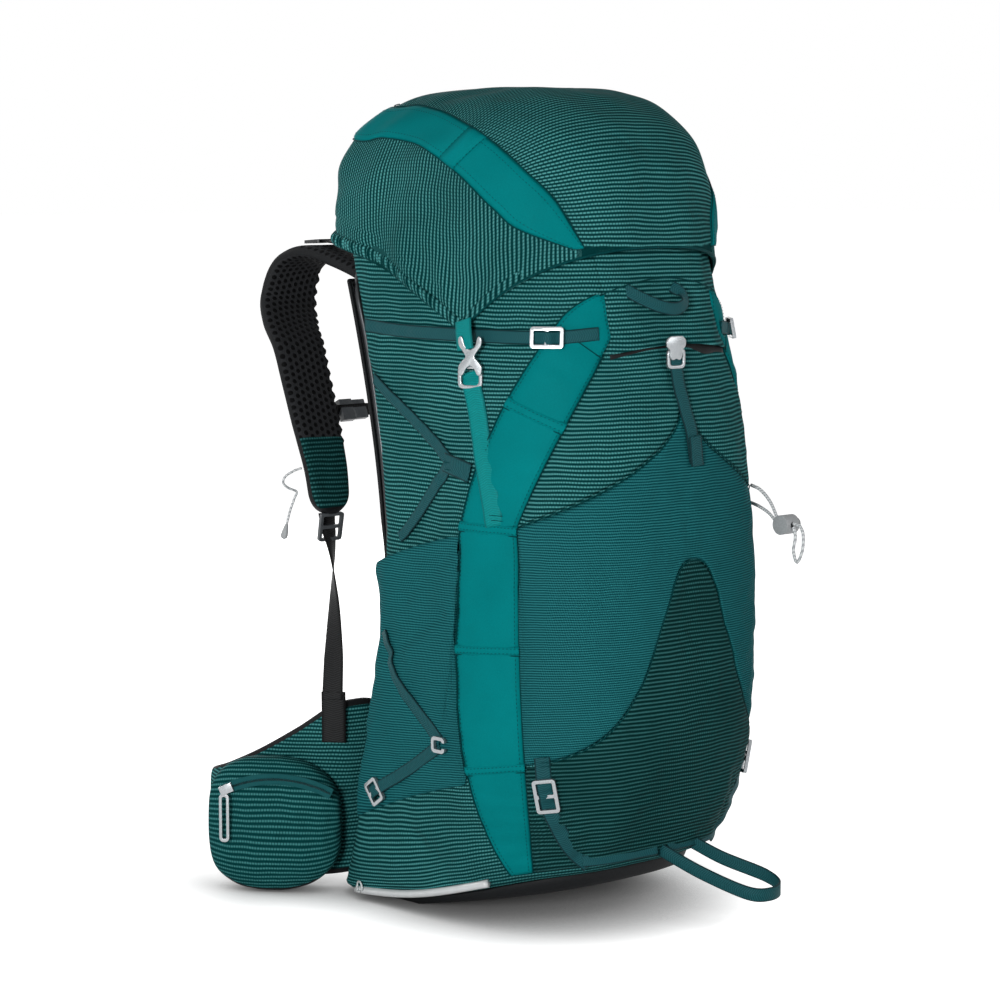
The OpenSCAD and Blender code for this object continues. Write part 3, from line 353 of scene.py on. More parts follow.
# Creases that the load leaves beside the straps, at the foot and below the side pocket's mouth.
CREASES = [(247, 90, 244, 34), (242, 88, 238, 60), (184, 66, 202, 40), (190, 330, 166, 280),
    (184, 268, 160, 226)]

# One degree round the bag is about this long.
MM_PER_DEGREE = 2.4


def from_front(angle):
    return np.abs((angle - 270 + 180) % 360 - 180)


def drawn_in(angle, z, lines, deep, wide):
    fold = 270 - from_front(angle)
    total = 0
    for a0, z0, a1, z1 in lines:
        dx, dz = MM_PER_DEGREE * (a1 - a0), z1 - z0
        x = MM_PER_DEGREE * (fold - a0)
        share = np.clip((x * dx + (z - z0) * dz) / (dx * dx + dz * dz), 0, 1)
        away = np.hypot(x - share * dx, z - z0 - share * dz)
        total = total - deep * np.exp(-((away / wide) ** 2))
    return total


def swell(angle, z):
    along = angle * MM_PER_DEGREE
    low = np.clip((150 - z) / 110, 0, 1)
    loose = np.clip((z - 380) / 160, 0, 1)
    flat_back = np.clip(np.abs((angle % 360) - 90) / 22 - 2, 0, 1)
    folds = rumple(along / MM_PER_DEGREE, z, 52, 1) + 0.45 * rumple(along, z, 19, 2)
    folds = folds + low * 1.6 * rumple(along / 3, z, 24, 3) + loose * 1.2 * rumple(along / 2, z, 42, 4)
    folds = folds + drawn_in(angle, z, STRAP_PRESS, 3.2, 13) + drawn_in(angle, z, CREASES, 2.8, 6.5)
    return folds * flat_back


def foot_flare(angle, z):
    corner = np.exp(-(((np.abs(angle % 360 - 90) - 56) / 17) ** 2))
    low = np.clip((84 - z) / 56, 0, 1)
    return 6 * corner * low**2 * (3 - 2 * low)


def skin(angle, z, off=0.0, folds=True):
    angle, z = np.broadcast_arrays(np.asarray(angle, float), np.asarray(z, float))
    out = off + (swell(angle, z) if folds else 0) + foot_flare(angle, z)
    yb = back_y(z)
    x, y = outline(angle, half_w(z), yb, front_y(z), 90, out, 6)
    slope = 0.17 * np.clip(1 - (z - 8) / 330, 0, None)
    rear = np.clip((y + 60) / 200, 0, 1)
    sag = 0.62 * rear**2 * (3 - 2 * rear) * np.clip(1 - (z - 8) / 90, 0, 1) ** 1.5
    return np.stack([x, y, (z + slope * (yb - y)) * (1 - sag)], -1)


def grid_faces(rows, cols, wrap=False):
    faces = []
    for i in range(rows - 1):
        for j in range(cols if wrap else cols - 1):
            k = (j + 1) % cols
            faces.append((i * cols + j, i * cols + k, (i + 1) * cols + k, (i + 1) * cols + j))
    return faces


def striped_ripstop(name, dark, pale, pitch=3.4, dash=2.7):
    # Ripstop nylon: rows of pale floats on a dark ground, dull, with soft creases. The floats are drawn
    # longer than the real ones, and the threads coarser, so that they show.
    made, tree = blank_material(name)
    cloth = add(tree, "ShaderNodeUVMap", uv_map="cloth")
    part = add(tree, "ShaderNodeSeparateXYZ", {0: cloth.outputs[0]})
    place = add(tree, "ShaderNodeTexCoord")
    drift = add(tree, "ShaderNodeTexNoise", {"Vector": place.outputs["Object"], "Scale": per_metre(47.6),
        "Detail": 1.5})
    bend = add(tree, "ShaderNodeMath", {0: drift.outputs["Fac"], 1: 4.5, 2: part.outputs[1]},
        operation="MULTIPLY_ADD")
    row = add(tree, "ShaderNodeMath", {0: bend.outputs[0], 1: 1 / pitch}, operation="MULTIPLY")
    in_row = add(tree, "ShaderNodeMath", {0: row.outputs[0]}, operation="FRACT")
    off_row = add(tree, "ShaderNodeMath", {0: in_row.outputs[0], 1: 0.5}, operation="SUBTRACT")
    far_row = add(tree, "ShaderNodeMath", {0: off_row.outputs[0]}, operation="ABSOLUTE")
    line = add(tree, "ShaderNodeMapRange", {"Value": far_row.outputs[0], "From Min": 0.36, "From Max": 0.0},
        interpolation_type="SMOOTHSTEP")
    which = add(tree, "ShaderNodeMath", {0: row.outputs[0]}, operation="FLOOR")
    shift = add(tree, "ShaderNodeMath", {0: which.outputs[0], 1: 0.37}, operation="MULTIPLY")
    run = add(tree, "ShaderNodeMath", {0: part.outputs[0], 1: 1 / dash, 2: shift.outputs[0]},
        operation="MULTIPLY_ADD")
    in_run = add(tree, "ShaderNodeMath", {0: run.outputs[0]}, operation="FRACT")
    off_run = add(tree, "ShaderNodeMath", {0: in_run.outputs[0], 1: 0.5}, operation="SUBTRACT")
    far_run = add(tree, "ShaderNodeMath", {0: off_run.outputs[0]}, operation="ABSOLUTE")
    float_on = add(tree, "ShaderNodeMapRange", {"Value": far_run.outputs[0], "From Min": 0.42,
        "From Max": 0.3, "To Min": 0.25}, interpolation_type="SMOOTHSTEP")
    floats = add(tree, "ShaderNodeMath", {0: line.outputs[0], 1: float_on.outputs[0]}, operation="MULTIPLY")
    thread = add(tree, "ShaderNodeTexNoise", {"Vector": place.outputs["Object"], "Scale": per_metre(1.43),
        "Detail": 2})
    worn = add(tree, "ShaderNodeTexNoise", {"Vector": place.outputs["Object"], "Scale": per_metre(111),
        "Detail": 3})
    strong = add(tree, "ShaderNodeMapRange", {"Value": worn.outputs["Fac"], "From Min": 0.3,
        "From Max": 0.7, "To Min": 0.62, "To Max": 1.0})
    mask = add(tree, "ShaderNodeMath", {0: floats.outputs[0], 1: strong.outputs[0]}, operation="MULTIPLY")
    ground = add(tree, "ShaderNodeMix", {0: thread.outputs["Fac"], 6: srgb(dark[0]), 7: srgb(dark[1])},
        data_type="RGBA")
    shade = add(tree, "ShaderNodeMix", {0: mask.outputs[0], 6: ground.outputs[2], 7: srgb(pale)},
        data_type="RGBA")
    height = add(tree, "ShaderNodeMath", {0: thread.outputs["Fac"], 1: 0.4, 2: floats.outputs[0]},
        operation="MULTIPLY_ADD")
    crease = add(tree, "ShaderNodeTexNoise", {"Vector": place.outputs["Object"], "Scale": per_metre(45.5),
        "Detail": 3, "Distortion": 0.7})
    drape = add(tree, "ShaderNodeBump", {"Height": crease.outputs["Fac"], "Distance": 9 * MM,
        "Strength": 0.75})
    relief = add(tree, "ShaderNodeBump", {"Height": height.outputs[0], "Distance": 0.3 * MM,
        "Strength": 0.7, "Normal": drape.outputs[0]})
    nylon = add(tree, "ShaderNodeBsdfPrincipled", {"Base Color": shade.outputs[2],
        "Normal": relief.outputs[0], "Roughness": 0.78, "Specular IOR Level": 0.04})
    add(tree, "ShaderNodeOutputMaterial", {"Surface": nylon.outputs[0]})
    return made


stripe = striped_ripstop("striped ripstop", ("#002B2C", "#00393A"), "#5AACAC")

COLS, ROWS, LINING_ROWS = 288, 132, 14
BAG_TOP = 610
wall_z = np.linspace(26, 608, ROWS)
angles = np.arange(COLS) * 360 / COLS
edge_rows = [(8, -60), (8, -34), (8, -16), (8.6, -9), (10.5, -5), (14, -2.4), (18, -0.9), (22, 0)]
outer = [skin(angles, z, off, folds=off > -5) for z, off in edge_rows]
outer += [skin(angles, z) for z in wall_z]
rim = [skin(angles, BAG_TOP, 0.4), skin(angles, BAG_TOP + 1.5, -1.2), skin(angles, BAG_TOP, -2.8)]
lining = [skin(angles, z, -3) for z in np.linspace(600, 60, LINING_ROWS)]
rows = np.array(outer + rim + lining)
heights = [z for z, _ in edge_rows] + list(wall_z) + [610, 612, 614]
heights += list(620 + np.linspace(0, 540, LINING_ROWS))
girth = arc_length(skin(angles, 300.0))
uv = [(girth[j], h) for h in heights for j in range(COLS)]
verts = rows.reshape(-1, 3)
faces = grid_faces(len(rows), COLS, wrap=True)
bottom = len(verts)
verts = np.vstack([verts, rows[0].mean(0), rows[-1].mean(0)])
uv += [(0, 0), (0, 0)]
last = (len(rows) - 1) * COLS
faces += [(bottom, (j + 1) % COLS, j) for j in range(COLS)]
faces += [(bottom + 1, last + j, last + (j + 1) % COLS) for j in range(COLS)]
bag = mesh_piece("bag_shell", verts, faces, stripe, uv)
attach(bag, "pack")
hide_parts("packbag")

# Panels sewn on the bag: light gussets up each side, the striped upper front, the stretch front pocket
# and the bell of harder cloth below it. Each lies just proud of the bag and dips at its seams.
MIRROR = np.array([-1, 1, 1])
SIDES = (("left", False), ("right", True))


def gusset_back(z):
    low = 192 + 35 * (np.maximum(300 - z, 0) / 284) ** 2
    high = 50 * (np.maximum(z - 340, 0) / 200) ** 1.28
    return low + high + 5 * (np.maximum(z - 524, 0) / 20) ** 2


def gusset_front(z):
    low = 215 + 18 * (np.maximum(300 - z, 0) / 284) ** 1.4
    return np.minimum(250, low + 33 * (np.maximum(z - 350, 0) / 150) ** 1.1)


def gusset_front_low(angle):
    return 300 - 284 * (np.maximum(angle - 215, 0) / 18) ** (1 / 1.4)


def gusset_front_high(angle):
    return 350 + 150 * (np.maximum(angle - 215, 0) / 33) ** (1 / 1.1)


def gusset_back_low(angle):
    return 300 - 284 * np.sqrt(np.maximum(angle - 192, 0) / 35)


def mesh_top(angle):
    return 452 - 100 * (np.abs(angle - 270) / 55) ** 0.58


def bell_top(angle):
    return 120 + 198 / (1 + (np.abs(angle - 270) / 16) ** 3)


def mouth_seam(angle):
    return 503 - 11 * (np.abs(angle - 270) / 25) ** 2


def seam_dip(share, width):
    return np.clip(np.minimum(share, 1 - share) / width, 0, 1) ** 0.5


def front_grid(left, rows, cols):
    angle = np.linspace(left, 540 - left, cols)[None, :] * np.ones((rows, 1))
    share = np.linspace(0, 1, rows)[:, None]
    return angle, share, 270 - np.abs(angle - 270)


def thicken(made, word, thickness):
    wall = made.modifiers.new(word, "SOLIDIFY")
    wall.thickness = thickness * MM
    wall.offset = -1


def handed_faces(rows, cols, flip):
    faces = grid_faces(rows, cols)
    return [f[::-1] for f in faces] if flip else faces


def sewn_panel(name, angle, z, off, material, node, thickness=1.1, mirror=False):
    p = skin(angle, z, off)
    rows, cols = angle.shape
    steps = np.linalg.norm(np.diff(p, axis=1), axis=2)
    across = np.concatenate([np.zeros((rows, 1)), np.cumsum(steps, axis=1)], 1)
    across = across - across[:, cols // 2][:, None]
    uv = np.stack([across, z], -1).reshape(-1, 2)
    if mirror:
        p = p * MIRROR
    made = mesh_piece(name, p.reshape(-1, 3), handed_faces(rows, cols, mirror), material, uv)
    thicken(made, "cloth thickness", thickness)
    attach(made, "pack")
    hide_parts(node)


def plain_taslan(name, dark, pale):
    # A flat air-textured weave: even colour, a faint grain of threads, drawn coarser than the real ones,
    # and hardly any shine.
    made, tree = blank_material(name)
    place = add(tree, "ShaderNodeTexCoord")
    thread = add(tree, "ShaderNodeTexNoise", {"Vector": place.outputs["Object"], "Scale": per_metre(1.25),
        "Detail": 2})
    worn = add(tree, "ShaderNodeTexNoise", {"Vector": place.outputs["Object"], "Scale": per_metre(71.4),
        "Detail": 3})
    mixed = add(tree, "ShaderNodeMath", {0: thread.outputs["Fac"], 1: 0.5, 2: worn.outputs["Fac"]},
        operation="MULTIPLY_ADD")
    tone = add(tree, "ShaderNodeMapRange", {"Value": mixed.outputs[0], "From Min": 0.45, "From Max": 1.05})
    shade = add(tree, "ShaderNodeMix", {0: tone.outputs[0], 6: srgb(dark), 7: srgb(pale)}, data_type="RGBA")
    relief = add(tree, "ShaderNodeBump", {"Height": thread.outputs["Fac"], "Distance": 0.2 * MM,
        "Strength": 0.5})
    nylon = add(tree, "ShaderNodeBsdfPrincipled", {"Base Color": shade.outputs[2],
        "Normal": relief.outputs[0], "Roughness": 0.7, "Specular IOR Level": 0.035})
    add(tree, "ShaderNodeOutputMaterial", {"Surface": nylon.outputs[0]})
    return made


taslan = plain_taslan("light teal taslan", "#007174", "#008083")
share = np.linspace(0, 1, 15)[None, :]
z = np.linspace(18, 543, 150)[:, None] * np.ones_like(share)
angle = gusset_back(z) * (1 - share) + gusset_front(z) * share
off = 0.5 + 1.9 * seam_dip(share, 0.12) * np.ones_like(z)
for word, flip in SIDES:
    sewn_panel(f"gusset_cloth_{word}", angle, z, off, taslan, f"gusset_{word}", mirror=flip)

angle, share, fold = front_grid(218, 34, 81)
low = mesh_top(angle) + 1.5
high = np.maximum(low + 1.5, np.minimum(mouth_seam(angle) + 8, gusset_front_high(fold) - 1))
z = low * (1 - share) + high * share
off = 0.6 + 1.7 * seam_dip(share, 0.1) * np.ones_like(angle)
sewn_panel("front_panel_cloth", angle, z, off, stripe, "front_panel")

# A hood of the same cloth hangs over the pocket's mouth, and stands open beside its buckle.
share = np.linspace(0, 1, 34)[:, None]
across = np.linspace(0, 1, 81)[None, :]
flat_angle = 249 + 42 * across * np.ones_like(share)
z = (mouth_seam(flat_angle) - 2) * (1 - share) + 576 * share
left_edge = np.minimum(gusset_front(z) - 0.4, 249.4)
angle = left_edge * (1 - across) + (540 - left_edge) * across
pull = np.exp(-(((angle - 270) / 2.6) ** 2))
open_right = np.exp(-(((angle - 282) / 6) ** 2))
lower = np.clip(1 - share * 1.8, 0, 1) ** 1.6
stand = 4.6 * seam_dip(across, 0.2) + 4.5 * open_right - 3.0 * pull
off = 0.9 + 2.4 * seam_dip(across, 0.08) + lower * stand
off = off + 0.8 * rumple(angle * 1.2, z, 26, 12) * seam_dip(across, 0.2) * (1 - lower)
sewn_panel("pocket_hood_cloth", angle, z, np.maximum(off, 0.8), stripe, "front_panel")


def stretch_knit(name, dark, pale):
    # Fine stretch knit: matt, with close courses of small loops and soft folds. The loops are drawn a
    # little coarser than the real ones.
    made, tree = blank_material(name)
    cloth = add(tree, "ShaderNodeUVMap", uv_map="cloth")
    course, wale = 2.3, 1.9
    fine = add(tree, "ShaderNodeMapping", {"Vector": cloth.outputs[0], "Scale": (1 / wale, 1 / course, 1)})
    place = add(tree, "ShaderNodeTexCoord")
    drift = add(tree, "ShaderNodeTexNoise", {"Vector": place.outputs["Object"], "Scale": per_metre(25),
        "Detail": 2})
    part = add(tree, "ShaderNodeSeparateXYZ", {0: fine.outputs[0]})
    row = add(tree, "ShaderNodeMath", {0: drift.outputs["Fac"], 1: 0.9, 2: part.outputs[1]},
        operation="MULTIPLY_ADD")
    row_turn = add(tree, "ShaderNodeMath", {0: row.outputs[0], 1: math.tau}, operation="MULTIPLY")
    ridge = add(tree, "ShaderNodeMath", {0: row_turn.outputs[0]}, operation="SINE")
    loop_turn = add(tree, "ShaderNodeMath", {0: part.outputs[0], 1: math.tau}, operation="MULTIPLY")
    loop = add(tree, "ShaderNodeMath", {0: loop_turn.outputs[0]}, operation="SINE")
    knit = add(tree, "ShaderNodeMath", {0: loop.outputs[0], 1: 0.35, 2: ridge.outputs[0]},
        operation="MULTIPLY_ADD")
    tone = add(tree, "ShaderNodeMapRange", {"Value": knit.outputs[0], "From Min": -1.1, "From Max": 1.2})
    shade = add(tree, "ShaderNodeMix", {0: tone.outputs[0], 6: srgb(dark), 7: srgb(pale)}, data_type="RGBA")
    crease = add(tree, "ShaderNodeTexNoise", {"Vector": place.outputs["Object"], "Scale": per_metre(76.9),
        "Detail": 2, "Distortion": 0.6})
    drape = add(tree, "ShaderNodeBump", {"Height": crease.outputs["Fac"], "Distance": 12 * MM,
        "Strength": 0.7})
    relief = add(tree, "ShaderNodeBump", {"Height": tone.outputs[0], "Distance": 0.4 * MM, "Strength": 0.6,
        "Normal": drape.outputs[0]})
    yarn = add(tree, "ShaderNodeBsdfPrincipled", {"Base Color": shade.outputs[2],
        "Normal": relief.outputs[0], "Roughness": 0.75, "Specular IOR Level": 0.03})
    add(tree, "ShaderNodeOutputMaterial", {"Surface": yarn.outputs[0]})
    return made


knit = stretch_knit("teal stretch knit", "#00343A", "#2A7A7E")
angle, share, fold = front_grid(215.4, 70, 91)
low = np.maximum(bell_top(angle) + 1.0, gusset_front_low(fold) + 1)
z = low * (1 - share) + (mesh_top(angle) - 1.0) * share
off = 0.6 + 1.7 * seam_dip(share, 0.04) * np.ones_like(angle)
sewn_panel("front_pocket_knit", angle, z, off, knit, "front_pocket")

# The bell's ripstop has its rows farther apart, and is painted darker than the bag's: painted shade on
# the foot of the front, which faces down, away from the light.
shaded_bell_stripe = striped_ripstop("dark striped ripstop", ("#001E1D", "#002A2A"), "#3C7979", pitch=4.0)
angle, share, fold = front_grid(224.5, 76, 101)
low = np.maximum(18, gusset_front_low(fold) + 1)
z = low * (1 - share) + (bell_top(angle) - 0.5) * share
creased = 0.9 * np.clip((130 - z) / 80, 0, 1) * rumple(angle * 0.8, z, 16, 8)
off = np.maximum(0.6 + 1.9 * seam_dip(share, 0.05) + creased, 0.5)
sewn_panel("bell_panel_cloth", angle, z, off, shaded_bell_stripe, "bell_panel")

# Side pockets: the same stretch knit, sewn to the bag at the foot and along both sides. The mouth is
# open at the top, where a folded hem stands away from the bag.
left, right = 140, 206
angle = np.linspace(left, right, 56)[None, :] * np.ones((64, 1))
share = np.linspace(0, 1, 64)[:, None]
top = 340 - 28 * (np.maximum(192 - angle, 0) / 35) ** 1.3
top = np.where(angle > 192, np.minimum(top, gusset_back_low(angle) - 2), top)
low = 84 + 0.6 * (angle - 162)
z = low * (1 - share) + top * share
open_part = np.clip((190 - angle) / 16, 0, 1)
off = 0.6 + 1.7 * seam_dip(share, 0.04) + 6.5 * open_part * np.clip((share - 0.72) / 0.28, 0, 1) ** 1.6
off = off + 0.5 * open_part * rumple(angle * MM_PER_DEGREE, z * 0.4, 30, 9)
for word, flip in SIDES:
    sewn_panel(f"side_pocket_knit_{word}", angle, z, np.maximum(off, 0.5), knit,
        f"side_pocket_{word}", mirror=flip)

# Seams: flat tapes cross the gussets, a thin dark cord along each joint is painted shadow for the shade
# in the seam, and rows of small stitches run beside it. The stitches are laid by a node tree along the
# lines of the pattern.


def unit_rows(v):
    return v / np.linalg.norm(v, axis=-1, keepdims=True)


def tube_mesh(name, lines, radius, material, sides=8):
    verts, faces = [], []
    for line in lines:
        run = unit_rows(np.gradient(line, axis=0))
        guide = np.array([0, 0, 1.0]) if abs(run[0][2]) < 0.8 else np.array([1.0, 0, 0])
        rings = []
        for c, r in zip(line, run):
            guide = guide - r * np.dot(guide, r)
            guide = guide / np.linalg.norm(guide)
            side = np.cross(r, guide)
            rings.append([c + radius * (guide * math.cos(t) + side * math.sin(t))
                for t in np.linspace(0, math.tau, sides, endpoint=False)])
        more, more_faces = ring_mesh(rings)
        faces += [tuple(i + len(verts) for i in f) for f in more_faces]
        verts += more
    return mesh_piece(name, verts, faces, material)


def grained(name, dark, pale, grit, finish):
    # Fine grain in two tones. Its size in millimetres is coarser than the real one so that it shows.
    made, tree = blank_material(name)
    place = add(tree, "ShaderNodeTexCoord")
    grain = add(tree, "ShaderNodeTexNoise", {"Vector": place.outputs["Object"], "Scale": per_metre(grit),
        "Detail": 2})
    tone = add(tree, "ShaderNodeMix", {0: grain.outputs["Fac"], 6: srgb(dark), 7: srgb(pale)},
        data_type="RGBA")
    surface = add(tree, "ShaderNodeBsdfPrincipled", {"Base Color": tone.outputs[2], **finish})
    add(tree, "ShaderNodeOutputMaterial", {"Surface": surface.outputs[0]})
    return made


# Spun thread: dull and dark. Its twist is drawn coarser than the real one, as a change of tone from
# stitch to stitch. The same material colours the dark cords along the seams, which are painted shadow.
thread = grained("dark teal thread and seam shadow", "#002A2C", "#034A4C", 2,
    {"Roughness": 0.6, "Specular IOR Level": 0.05})

stitch_group = bpy.data.node_groups.new("stitch row", "GeometryNodeTree")
stitch_group.interface.new_socket("Lines", in_out="INPUT", socket_type="NodeSocketGeometry")
for word in ("Spacing", "Length", "Thread"):
    stitch_group.interface.new_socket(word, in_out="INPUT", socket_type="NodeSocketFloat")
stitch_group.interface.new_socket("Material", in_out="INPUT", socket_type="NodeSocketMaterial")
stitch_group.interface.new_socket("Stitches", in_out="OUTPUT", socket_type="NodeSocketGeometry")
given = add(stitch_group, "NodeGroupInput")
curve = add(stitch_group, "GeometryNodeMeshToCurve", {0: given.outputs["Lines"]})
spaced = add(stitch_group, "GeometryNodeResampleCurve", {"Curve": curve.outputs[0],
    "Length": given.outputs["Spacing"]}, mode="LENGTH")
bead = add(stitch_group, "GeometryNodeMeshIcoSphere", {"Radius": 0.5, "Subdivisions": 1})
size = add(stitch_group, "ShaderNodeCombineXYZ", {0: given.outputs["Length"], 1: given.outputs["Thread"],
    2: given.outputs["Thread"]})
heading = add(stitch_group, "GeometryNodeInputTangent")
turn = add(stitch_group, "FunctionNodeAlignRotationToVector", {"Vector": heading.outputs[0]}, axis="X")
laid = add(stitch_group, "GeometryNodeInstanceOnPoints", {"Points": spaced.outputs[0],
    "Instance": bead.outputs[0], "Rotation": turn.outputs[0], "Scale": size.outputs[0]})
solid = add(stitch_group, "GeometryNodeRealizeInstances", {0: laid.outputs[0]})
painted = add(stitch_group, "GeometryNodeSetMaterial", {"Geometry": solid.outputs[0],
    "Material": given.outputs["Material"]})
add(stitch_group, "NodeGroupOutput", {0: painted.outputs[0]})


def stitched(name, lines, body, material, spacing=3.6, length=2.3, width=0.55):
    verts = np.vstack(lines)
    starts = np.cumsum([0] + [len(line) for line in lines])
    edges = [(i, i + 1) for a, b in zip(starts[:-1], starts[1:]) for i in range(a, b - 1)]
    data = bpy.data.meshes.new(name)
    data.from_pydata([tuple(v) for v in verts * MM], edges, [])
    holder = bpy.data.objects.new(name + "_lines", data)
    scene.collection.objects.link(holder)
    maker = holder.modifiers.new("stitches", "NODES")
    maker.node_group = stitch_group
    values = {"Spacing": spacing * MM, "Length": length * MM, "Thread": width * MM, "Material": material}
    for item in stitch_group.interface.items_tree:
        if item.in_out == "INPUT" and item.name in values:
            maker[item.identifier] = values[item.name]
    graph = bpy.context.evaluated_depsgraph_get()
    made = bpy.data.objects.new(name, bpy.data.meshes.new_from_object(holder.evaluated_get(graph)))
    bpy.data.objects.remove(holder)
    scene.collection.objects.link(made)
    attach(made, body)


gusset_tapes = [(349, 349), (238, 240), (124, 128), (455, 434)]
seam_shadow_lines, stitch_lines = [], []
for z_back, z_front in gusset_tapes:
    share = np.linspace(0, 1, 24)[None, :]
    height = np.linspace(-4.5, 4.5, 5)[:, None]
    z = z_back * (1 - share) + z_front * share + height
    angle = gusset_back(z) * (1 - share) + gusset_front(z) * share
    off = 2.0 + 1.2 * seam_dip(np.linspace(0, 1, 5)[:, None], 0.2) * np.ones_like(share)
    for word, flip in SIDES:
        sewn_panel(f"gusset_tape_{word}_{z_back}", angle, z, off, taslan,
            f"gusset_{word}", mirror=flip)
    seam_shadow_lines.append(skin(angle[0], z[0], 1.9))
    for row in (1, 3):
        stitch_lines.append(skin(angle[row], z[row], 3.3))
z = np.linspace(18, 543, 130)
for edge, inward in ((gusset_back, 1.2), (gusset_front, -1.2)):
    seam_shadow_lines.append(skin(edge(z), z, 1.0))
    stitch_lines.append(skin(edge(z) + inward, z, 2.6))
z = np.linspace(510, 490, 12)
seam_shadow_lines.append(skin(np.linspace(238, 246, 12), z, 2.5))
seam_shadow_lines += [line * MIRROR for line in seam_shadow_lines]
stitch_lines += [line * MIRROR for line in stitch_lines]
span = np.linspace(216, 324, 120)
seam_shadow_lines.append(skin(span, mesh_top(span), 1.6))
span = np.linspace(231, 309, 120)
seam_shadow_lines.append(skin(span, bell_top(span), 1.6))
# An arched seam crosses the hood over the pocket.
span = np.linspace(248, 292, 80)
arch = 13 * ((span - 270) / 22) ** 2
seam_shadow_lines.append(skin(span, 555 - arch, 4.8))
stitch_lines.append(skin(span, 551 - arch, 4.9))
# The dark cords along the joints are painted shadow, standing for the shade in each seam.
seam_shadows = tube_mesh("bag_seam_shadow_line", seam_shadow_lines, 0.5, thread)
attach(seam_shadows, "pack")
stitched("bag_stitches", stitch_lines, "pack", thread)

# Base and mouth strip: the foot is a pad of black coated cloth, raked up to the front and flat where the
# pack stands. A strip of the same cloth along the mouth of the front pocket is painted shadow.

# Coated pack cloth: nearly black, with a dull waxy shine and a fine weave, drawn coarse enough to show.
coated, tree = blank_material("black coated pack cloth")
place = add(tree, "ShaderNodeTexCoord")
weave = add(tree, "ShaderNodeTexNoise", {"Vector": place.outputs["Object"], "Scale": per_metre(1.67),
    "Detail": 3})
tone = add(tree, "ShaderNodeMix", {0: weave.outputs["Fac"], 6: srgb("#07080A"), 7: srgb("#191B1D")},
    data_type="RGBA")
relief = add(tree, "ShaderNodeBump", {"Height": weave.outputs["Fac"], "Distance": 0.3 * MM,
    "Strength": 0.5})
skin_coat = add(tree, "ShaderNodeBsdfPrincipled", {"Base Color": tone.outputs[2],
    "Normal": relief.outputs[0], "Roughness": 0.6, "Specular IOR Level": 0.15})
add(tree, "ShaderNodeOutputMaterial", {"Surface": skin_coat.outputs[0]})

# A strip of black cloth under the hood's edge is painted shadow, for the dark gap at the pocket's mouth.
share = np.linspace(0, 1, 7)[:, None]
angle = np.linspace(248, 292, 60)[None, :] * np.ones_like(share)
gap = 4.8 + 5 * np.exp(-(((angle - 282) / 5) ** 2))
z = mouth_seam(angle) + 3 - (gap + 3) * (1 - share)
off = np.full_like(z, 2.6)
sewn_panel("pocket_mouth_shadow_strip", angle, z, off, coated, "front_panel", 0.6)

foot_front = 97.6
RAKE = 0.23
base_rows = []
for inset, share in ((27, 0.0), (21, 0.10), (17, 0.32), (15, 0.6), (13.5, 0.9), (14, 0.99)):
    ring = skin(angles, 8, -inset, folds=False)
    under = np.maximum(0, RAKE * (foot_front - ring[:, 1]))
    ring[:, 2] = under * (1 - share) + (ring[:, 2] - 0.4) * share
    base_rows.append(ring)
verts = np.vstack(base_rows)
faces = grid_faces(len(base_rows), COLS, wrap=True)
hub = len(verts)
verts = np.vstack([verts, [0, foot_front, 0.0]])
faces += [(hub, (j + 1) % COLS, j) for j in range(COLS)]
base = mesh_piece("base_pad", verts, faces, coated)
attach(base, "pack")
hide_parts("base_panel")

# Webbing: straps of woven nylon tape that follow the bag. Each is sewn down by its ends, and some run
# through a lock. The chevron of the weave is drawn larger than life so that it shows.


def woven_tape(name, dark, pale, edge):
    # Woven nylon: slanting ribs that meet along the middle, a darker rolled edge and a low shine.
    made, tree = blank_material(name)
    cloth = add(tree, "ShaderNodeUVMap", uv_map="cloth")
    part = add(tree, "ShaderNodeSeparateXYZ", {0: cloth.outputs[0]})
    across = add(tree, "ShaderNodeMath", {0: part.outputs[0]}, operation="ABSOLUTE")
    pick, slant = 2.0, 1.6
    step = add(tree, "ShaderNodeMath", {0: part.outputs[1], 1: 1 / pick}, operation="MULTIPLY")
    wave = add(tree, "ShaderNodeMath", {0: across.outputs[0], 1: slant, 2: step.outputs[0]},
        operation="MULTIPLY_ADD")
    turn = add(tree, "ShaderNodeMath", {0: wave.outputs[0], 1: math.tau}, operation="MULTIPLY")
    rib = add(tree, "ShaderNodeMath", {0: turn.outputs[0]}, operation="SINE")
    tone = add(tree, "ShaderNodeMapRange", {"Value": rib.outputs[0], "From Min": -1})
    shade = add(tree, "ShaderNodeMix", {0: tone.outputs[0], 6: srgb(dark), 7: srgb(pale)}, data_type="RGBA")
    rolled = add(tree, "ShaderNodeMapRange", {"Value": across.outputs[0], "From Min": 0.74,
        "From Max": 0.92}, interpolation_type="SMOOTHSTEP")
    whole = add(tree, "ShaderNodeMix", {0: rolled.outputs[0], 6: shade.outputs[2], 7: srgb(edge)},
        data_type="RGBA")
    relief = add(tree, "ShaderNodeBump", {"Height": tone.outputs[0], "Distance": 0.3 * MM, "Strength": 0.6})
    nylon = add(tree, "ShaderNodeBsdfPrincipled", {"Base Color": whole.outputs[2],
        "Normal": relief.outputs[0], "Roughness": 0.6, "Specular IOR Level": 0.12})
    add(tree, "ShaderNodeOutputMaterial", {"Surface": nylon.outputs[0]})
    return made


teal_tape = woven_tape("dark teal webbing", "#0C3F44", "#1F585D", "#082C30")
light_tape = woven_tape("light teal webbing", "#00797A", "#008B8A", "#006A6B")
black_tape = woven_tape("black webbing", "#121213", "#272829", "#0D0D0E")


